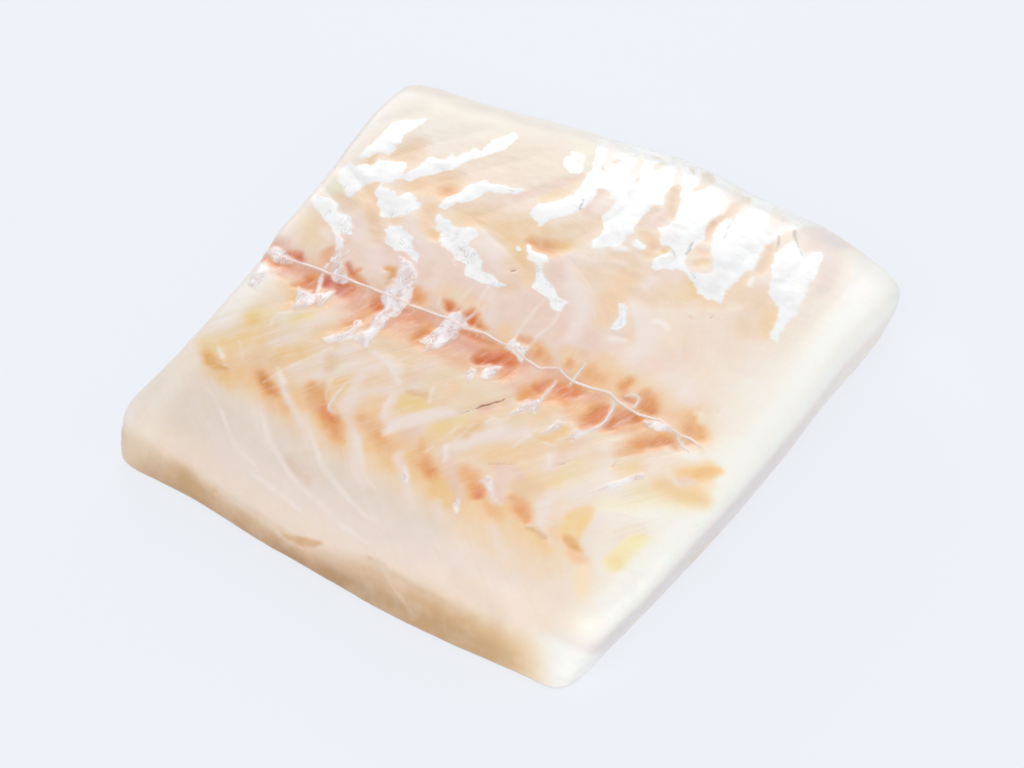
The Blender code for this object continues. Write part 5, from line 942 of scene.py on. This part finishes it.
def flesh_material():
    material = bpy.data.materials.new("cod_flesh_moist")
    n = Nodes(material)
    tint = n.attribute("tint", vector=True)
    wet_highlight, milky, crack, fold_shade, mid = (n.attribute(a) for a in ("wet_highlight", "milky", "crack", "fold_shade", "mid"))
    inner, vein, grain, highlight_break_zone, highlight_strength = (n.attribute(a) for a in ("inner", "vein", "grain", "highlight_break_zone", "highlight_strength"))
    flow = n.attribute("flow", vector=True)

    blotch = n.noise(240.0, 4.0, 0.55)
    fibre = n.noise(800.0, 3.0, 0.6, stretch=(0.22, 1.0, 1.0), turn=(0.0, 0.0, 0.25))
    edge = n.noise(1000.0, 3.0, 0.6)

    # Slight changes of value and warmth over the muscle.
    colour = n.mix(n.ramp(blotch, 0.4, 0.7, 0.0, 0.16), tint, rgb((250, 238, 228)))
    colour = n.mix(n.ramp(fibre, 0.45, 0.75, 0.0, 0.04), colour, rgb((222, 188, 166)))

    # Streaks that run along the sheets between the muscle blocks.
    wide = n.noise(0.55, 4.0, 0.6, at=flow)
    thin = n.noise(1.7, 3.0, 0.6, at=flow)
    colour = n.mix(n.math("MULTIPLY", n.ramp(wide, 0.52, 0.72, 0.0, 0.4), grain), colour, rgb((246, 232, 226)))
    colour = n.mix(n.math("MULTIPLY", n.ramp(wide, 0.48, 0.30, 0.0, 0.26), grain), colour, rgb((232, 202, 150)))
    colour = n.mix(n.math("MULTIPLY", n.ramp(thin, 0.54, 0.72, 0.0, 0.36), grain), colour, rgb((250, 240, 235)))

    def crease(source, centre, width):
        return n.ramp(n.math("ABSOLUTE", n.math("SUBTRACT", source, centre)), 0.0, width, 1.0, 0.0)

    jag = n.math("MULTIPLY", n.math("SUBTRACT", edge, 0.5), 0.5)
    highlight_mask = n.ramp(n.math("ADD", wet_highlight, jag), -0.26, 0.30)
    haze = n.ramp(n.math("ADD", milky, n.math("MULTIPLY", jag, 0.8)), -0.34, 0.34)
    near_line = n.math("ADD", n.math("ABSOLUTE", mid), n.math("MULTIPLY", jag, 0.3))
    line = n.math("MULTIPLY", n.ramp(near_line, 0.12, 0.42, 1.0, 0.0), inner)
    crack_mask = n.ramp(n.math("ADD", crack, n.math("MULTIPLY", jag, 0.3)), -0.10, 0.16)
    fold_shade_mask = n.ramp(n.math("ADD", fold_shade, n.math("MULTIPLY", jag, 0.3)), -0.2, 0.2)
    folds = n.noise(420.0, 2.0, 0.5, stretch=(1.0, 0.6, 1.0), turn=(0.0, 0.0, 0.5))
    pleats = n.noise(640.0, 1.0, 0.5, stretch=(1.0, 0.55, 1.0), turn=(0.0, 0.0, -0.4))
    thread = n.math("MULTIPLY", n.ramp(n.math("ADD", vein, n.math("MULTIPLY", jag, 0.3)), -0.55, 0.35), n.ramp(folds, 0.36, 0.6, 0.45, 1.0))
    veil = n.math("MULTIPLY", n.ramp(milky, -0.1, 0.9, 0.68, 0.96), n.ramp(folds, 0.34, 0.5, 0.55, 1.0))
    # Milky membrane: its own white, with painted shade in lilac grey across its folds.
    membrane_shaded = n.mix(n.ramp(folds, 0.38, 0.62), rgb((228, 212, 214)), rgb((250, 244, 245)))
    colour = n.mix(n.math("MULTIPLY", haze, veil), colour, membrane_shaded)
    # Painted highlight: white along the ridges of the membrane tags, where they catch the light.
    ridge = n.math("MULTIPLY", n.math("MAXIMUM", crease(pleats, 0.5, 0.035), n.math("MULTIPLY", crease(milky, 0.15, 0.3), n.ramp(folds, 0.46, 0.6, 0.0, 0.6))), haze)
    colour = n.mix(n.math("MULTIPLY", ridge, 0.8), colour, rgb((254, 246, 243)))
    # Painted shade: darker lines in the creases of the membrane.
    colour = n.mix(n.math("MULTIPLY", n.math("MULTIPLY", crease(pleats, 0.43, 0.022), haze), 0.35), colour, rgb((206, 178, 174)))
    colour = n.mix(n.math("MULTIPLY", thread, 0.68), colour, rgb((248, 236, 229)))
    colour = n.mix(n.math("MULTIPLY", line, 0.8), colour, rgb((248, 224, 216)))
    # Painted highlight: the wet patches are coloured near white, fading where the strength attribute is low.
    highlight_white = n.mix(n.ramp(blotch, 0.34, 0.60), rgb((244, 244, 244)), rgb((254, 254, 254)))
    colour = n.mix(n.math("MULTIPLY", n.math("MULTIPLY", highlight_mask, 0.93), highlight_strength), colour, highlight_white)
    # Grey breaks in the painted highlight of the lower wet patches, where small bumps don't catch the light.
    highlight_break = n.math("MULTIPLY", n.math("MULTIPLY", crease(pleats, 0.46, 0.03), n.ramp(folds, 0.46, 0.58)), n.math("MULTIPLY", highlight_mask, highlight_break_zone))
    colour = n.mix(n.math("MULTIPLY", highlight_break, 0.6), colour, rgb((200, 194, 196)))
    # Painted shade: dull grey in the folds at the edges of the wet patches.
    colour = n.mix(n.math("MULTIPLY", fold_shade_mask, 0.55), colour, rgb((176, 164, 158)))
    colour = n.mix(n.math("MULTIPLY", crack_mask, 0.75), colour, rgb((172, 84, 80)))
    n.feed(colour, n.shader.inputs["Base Color"])

    gloss = n.math("MAXIMUM", n.math("MULTIPLY", highlight_mask, highlight_strength), n.math("MULTIPLY", haze, 0.7))
    dull = n.ramp(blotch, 0.3, 0.7, 0.3, 0.42)
    rough = n.add("ShaderNodeMix", data_type="FLOAT")
    n.feed(gloss, rough.inputs[0])
    n.feed(dull, rough.inputs[2])
    rough.inputs[3].default_value = 0.2
    n.feed(rough.outputs[0], n.shader.inputs["Roughness"])

    height = n.math("MULTIPLY", fibre, 0.00003)
    height = n.math("ADD", height, n.math("MULTIPLY", edge, 0.00008))
    height = n.math("ADD", height, n.math("MULTIPLY", n.math("ADD", haze, n.math("MULTIPLY", ridge, 0.8)), 0.00012))
    height = n.math("ADD", height, n.math("MULTIPLY", n.math("MAXIMUM", line, thread), 0.00010))
    height = n.math("ADD", height, n.math("MULTIPLY", n.math("MULTIPLY", thin, grain), 0.00012))
    relief = n.add("ShaderNodeBump")
    relief.inputs["Strength"].default_value = 0.45
    relief.inputs["Distance"].default_value = 1.0
    n.feed(height, relief.inputs["Height"])
    n.feed(relief.outputs[0], n.shader.inputs["Normal"])

    n.shader.inputs["IOR"].default_value = 1.42
    n.shader.inputs["Subsurface Weight"].default_value = 0.3
    n.shader.inputs["Subsurface Radius"].default_value = (1.0, 0.5, 0.3)
    n.shader.inputs["Subsurface Scale"].default_value = 0.002
    return material


def thread_material():
    material = bpy.data.materials.new("membrane_pale")
    n = Nodes(material)
    strands = n.noise(1400.0, 3.0, 0.6)
    colour = n.mix(n.ramp(strands, 0.35, 0.7), rgb((252, 238, 232)), rgb((245, 222, 214)))
    n.feed(colour, n.shader.inputs["Base Color"])
    n.feed(n.ramp(strands, 0.3, 0.7, 0.22, 0.4), n.shader.inputs["Roughness"])
    relief = n.add("ShaderNodeBump")
    relief.inputs["Strength"].default_value = 0.4
    relief.inputs["Distance"].default_value = 1.0
    n.feed(n.math("MULTIPLY", strands, 0.00012), relief.inputs["Height"])
    n.feed(relief.outputs[0], n.shader.inputs["Normal"])
    n.shader.inputs["IOR"].default_value = 1.42
    n.shader.inputs["Subsurface Weight"].default_value = 0.15
    n.shader.inputs["Subsurface Radius"].default_value = (1.0, 0.6, 0.5)
    n.shader.inputs["Subsurface Scale"].default_value = 0.001
    return material


# ---------------------------------------------------------------- threads


def make_threads(top_points):
    """Thin tapered tubes half sunk in the flesh, all in one mesh."""
    from mathutils import kdtree

    tree = kdtree.KDTree(len(top_points))
    for k, p in enumerate(top_points):
        tree.insert((p[0], p[1], 0.0), k)
    tree.balance()

    def ground(x, y):
        near = tree.find_n((x, y, 0.0), 4)
        weights = np.array([1.0 / (d + 0.05) for _, _, d in near])
        heights = np.array([top_points[k][2] for _, k, _ in near])
        return float((weights * heights).sum() / weights.sum())

    vertices, faces = [], []
    round_ = 8
    for order, (width, path) in enumerate(THREADS):
        path = np.array(path, float)
        lengths = np.concatenate([[0.0], np.cumsum(np.linalg.norm(np.diff(path, axis=0), axis=1))])
        samples = max(8, int(lengths[-1] / 0.35))
        s = np.linspace(0.0, lengths[-1], samples)
        line = np.column_stack([np.interp(s, lengths, path[:, k]) for k in range(2)])
        for _ in range(3):
            line[1:-1] = 0.5 * line[1:-1] + 0.25 * (line[:-2] + line[2:])
        wiggle = 0.10 * noise(s, s * 0.0 + order * 7.0, s * 0.0, 1.6, 101)
        tangent = np.gradient(line, axis=0)
        tangent /= np.maximum(np.linalg.norm(tangent, axis=1), 1e-9)[:, None]
        across = np.column_stack([-tangent[:, 1], tangent[:, 0]])
        line = line + across * wiggle[:, None]
        z = np.array([ground(px, py) for px, py in line])
        for _ in range(4):
            z[1:-1] = 0.5 * z[1:-1] + 0.25 * (z[:-2] + z[2:])
        swell = 0.8 + 0.3 * noise(s, s * 0.0, s * 0.0 + order * 3.0, 1.8, 102)
        taper = np.minimum(1.0, np.minimum(s, lengths[-1] - s) / 1.5 + 0.25)
        radius = 0.62 * width * swell * taper
        start = len(vertices)
        for k in range(samples):
            for q in range(round_):
                turn = 2.0 * math.pi * q / round_
                flat = across[k] * (radius[k] * 1.3 * math.cos(turn))
                vertices.append((line[k, 0] + flat[0], line[k, 1] + flat[1], z[k] + 0.02 + radius[k] * 0.6 * math.sin(turn)))
        for k in range(samples - 1):
            for q in range(round_):
                r = (q + 1) % round_
                a, b = start + k * round_, start + (k + 1) * round_
                faces.append((a + q, a + r, b + r, b + q))
        faces.append(tuple(start + q for q in range(round_))[::-1])
        faces.append(tuple(start + (samples - 1) * round_ + q for q in range(round_)))
    mesh = bpy.data.meshes.new("membrane_threads")
    mesh.from_pydata([(x * MM, y * MM, z * MM) for x, y, z in vertices], [], faces)
    mesh.update()
    import bmesh

    made = bmesh.new()
    made.from_mesh(mesh)
    bmesh.ops.recalc_face_normals(made, faces=made.faces)
    made.to_mesh(mesh)
    made.free()
    mesh.shade_smooth()
    piece = bpy.data.objects.new("membrane_threads", mesh)
    bpy.context.scene.collection.objects.link(piece)
    return piece


# ---------------------------------------------------------------- assembly

flesh, top_points = make_flesh()
flesh.data.materials.append(flesh_material())
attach(flesh, "root")
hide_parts("cod_fillet")

threads = make_threads(top_points)
threads.data.materials.append(thread_material())
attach(threads, "root")

# ---------------------------------------------------------------- floor, light and camera

floor_mesh = bpy.data.meshes.new("floor")
floor_mesh.from_pydata([(-3, -3, -0.0002), (3, -3, -0.0002), (3, 3, -0.0002), (-3, 3, -0.0002)], [], [(0, 1, 2, 3)])
floor = bpy.data.objects.new("floor", floor_mesh)
bpy.context.scene.collection.objects.link(floor)
paint = bpy.data.materials.new("pale_floor")
paint.use_nodes = True
base = paint.node_tree.nodes["Principled BSDF"]
base.inputs["Base Color"].default_value = (0.20, 0.205, 0.215, 1.0)
base.inputs["Roughness"].default_value = 1.0
base.inputs["Specular IOR Level"].default_value = 0.0
base.inputs["Emission Color"].default_value = (0.855, 0.880, 0.930, 1.0)
base.inputs["Emission Strength"].default_value = 0.785
floor_mesh.materials.append(paint)

world = bpy.data.worlds.new("studio")
bpy.context.scene.world = world
world.use_nodes = True
sky = world.node_tree.nodes["Background"]
sky.inputs["Color"].default_value = (0.955, 0.975, 1.0, 1.0)
sky.inputs["Strength"].default_value = 0.46


def softbox(name, place, aim, width, height, power, colour=(1.0, 1.0, 1.0)):
    data = bpy.data.lights.new(name, "AREA")
    data.shape = "RECTANGLE"
    data.size, data.size_y = width, height
    data.energy = power
    data.color = colour
    lamp = bpy.data.objects.new(name, data)
    lamp.location = place
    lamp.rotation_euler = (Vector(aim) - Vector(place)).to_track_quat("-Z", "Y").to_euler()
    bpy.context.scene.collection.objects.link(lamp)
    return lamp


def toward(azimuth, elevation, distance):
    """A place at that compass angle (0 along -Y, growing towards +X), height angle and distance from the portion."""
    a, e = math.radians(azimuth), math.radians(elevation)
    return (distance * math.sin(a) * math.cos(e), -distance * math.cos(a) * math.cos(e), distance * math.sin(e))


softbox("key_softbox", toward(14.0, 48.0, 0.95), (0.0, 0.0, 0.01), 0.8, 0.7, 4.0, (1.0, 0.99, 0.975))
softbox("back_softbox", toward(212.0, 22.0, 0.62), (0.0, 0.0, 0.01), 0.5, 0.26, 1.7)
softbox("side_softbox", toward(84.0, 40.0, 0.7), (0.0, 0.0, 0.01), 0.4, 0.3, 0.7)

CAMERA_AZIMUTH = 30.0
CAMERA_ELEVATION = 46.0
CAMERA_DISTANCE = 0.585
AIM = (0.00269, -0.01044, 0.01)
camera_data = bpy.data.cameras.new("camera")
camera_data.sensor_width = 36.0
camera_data.lens = 3000.0 * 36.0 / 1024.0
camera_data.clip_start = 0.01
camera = bpy.data.objects.new("camera", camera_data)
offset = toward(CAMERA_AZIMUTH, CAMERA_ELEVATION, CAMERA_DISTANCE)
camera.location = tuple(a + b for a, b in zip(AIM, offset))
camera.rotation_euler = (math.radians(90.0 - CAMERA_ELEVATION), 0.0, math.radians(CAMERA_AZIMUTH))
bpy.context.scene.collection.objects.link(camera)
bpy.context.scene.camera = camera

bpy.context.scene.view_settings.view_transform = "Standard"
bpy.context.scene.view_settings.look = "None"
bpy.context.scene.view_settings.exposure = 0.0
bpy.context.scene.view_settings.gamma = 1.0
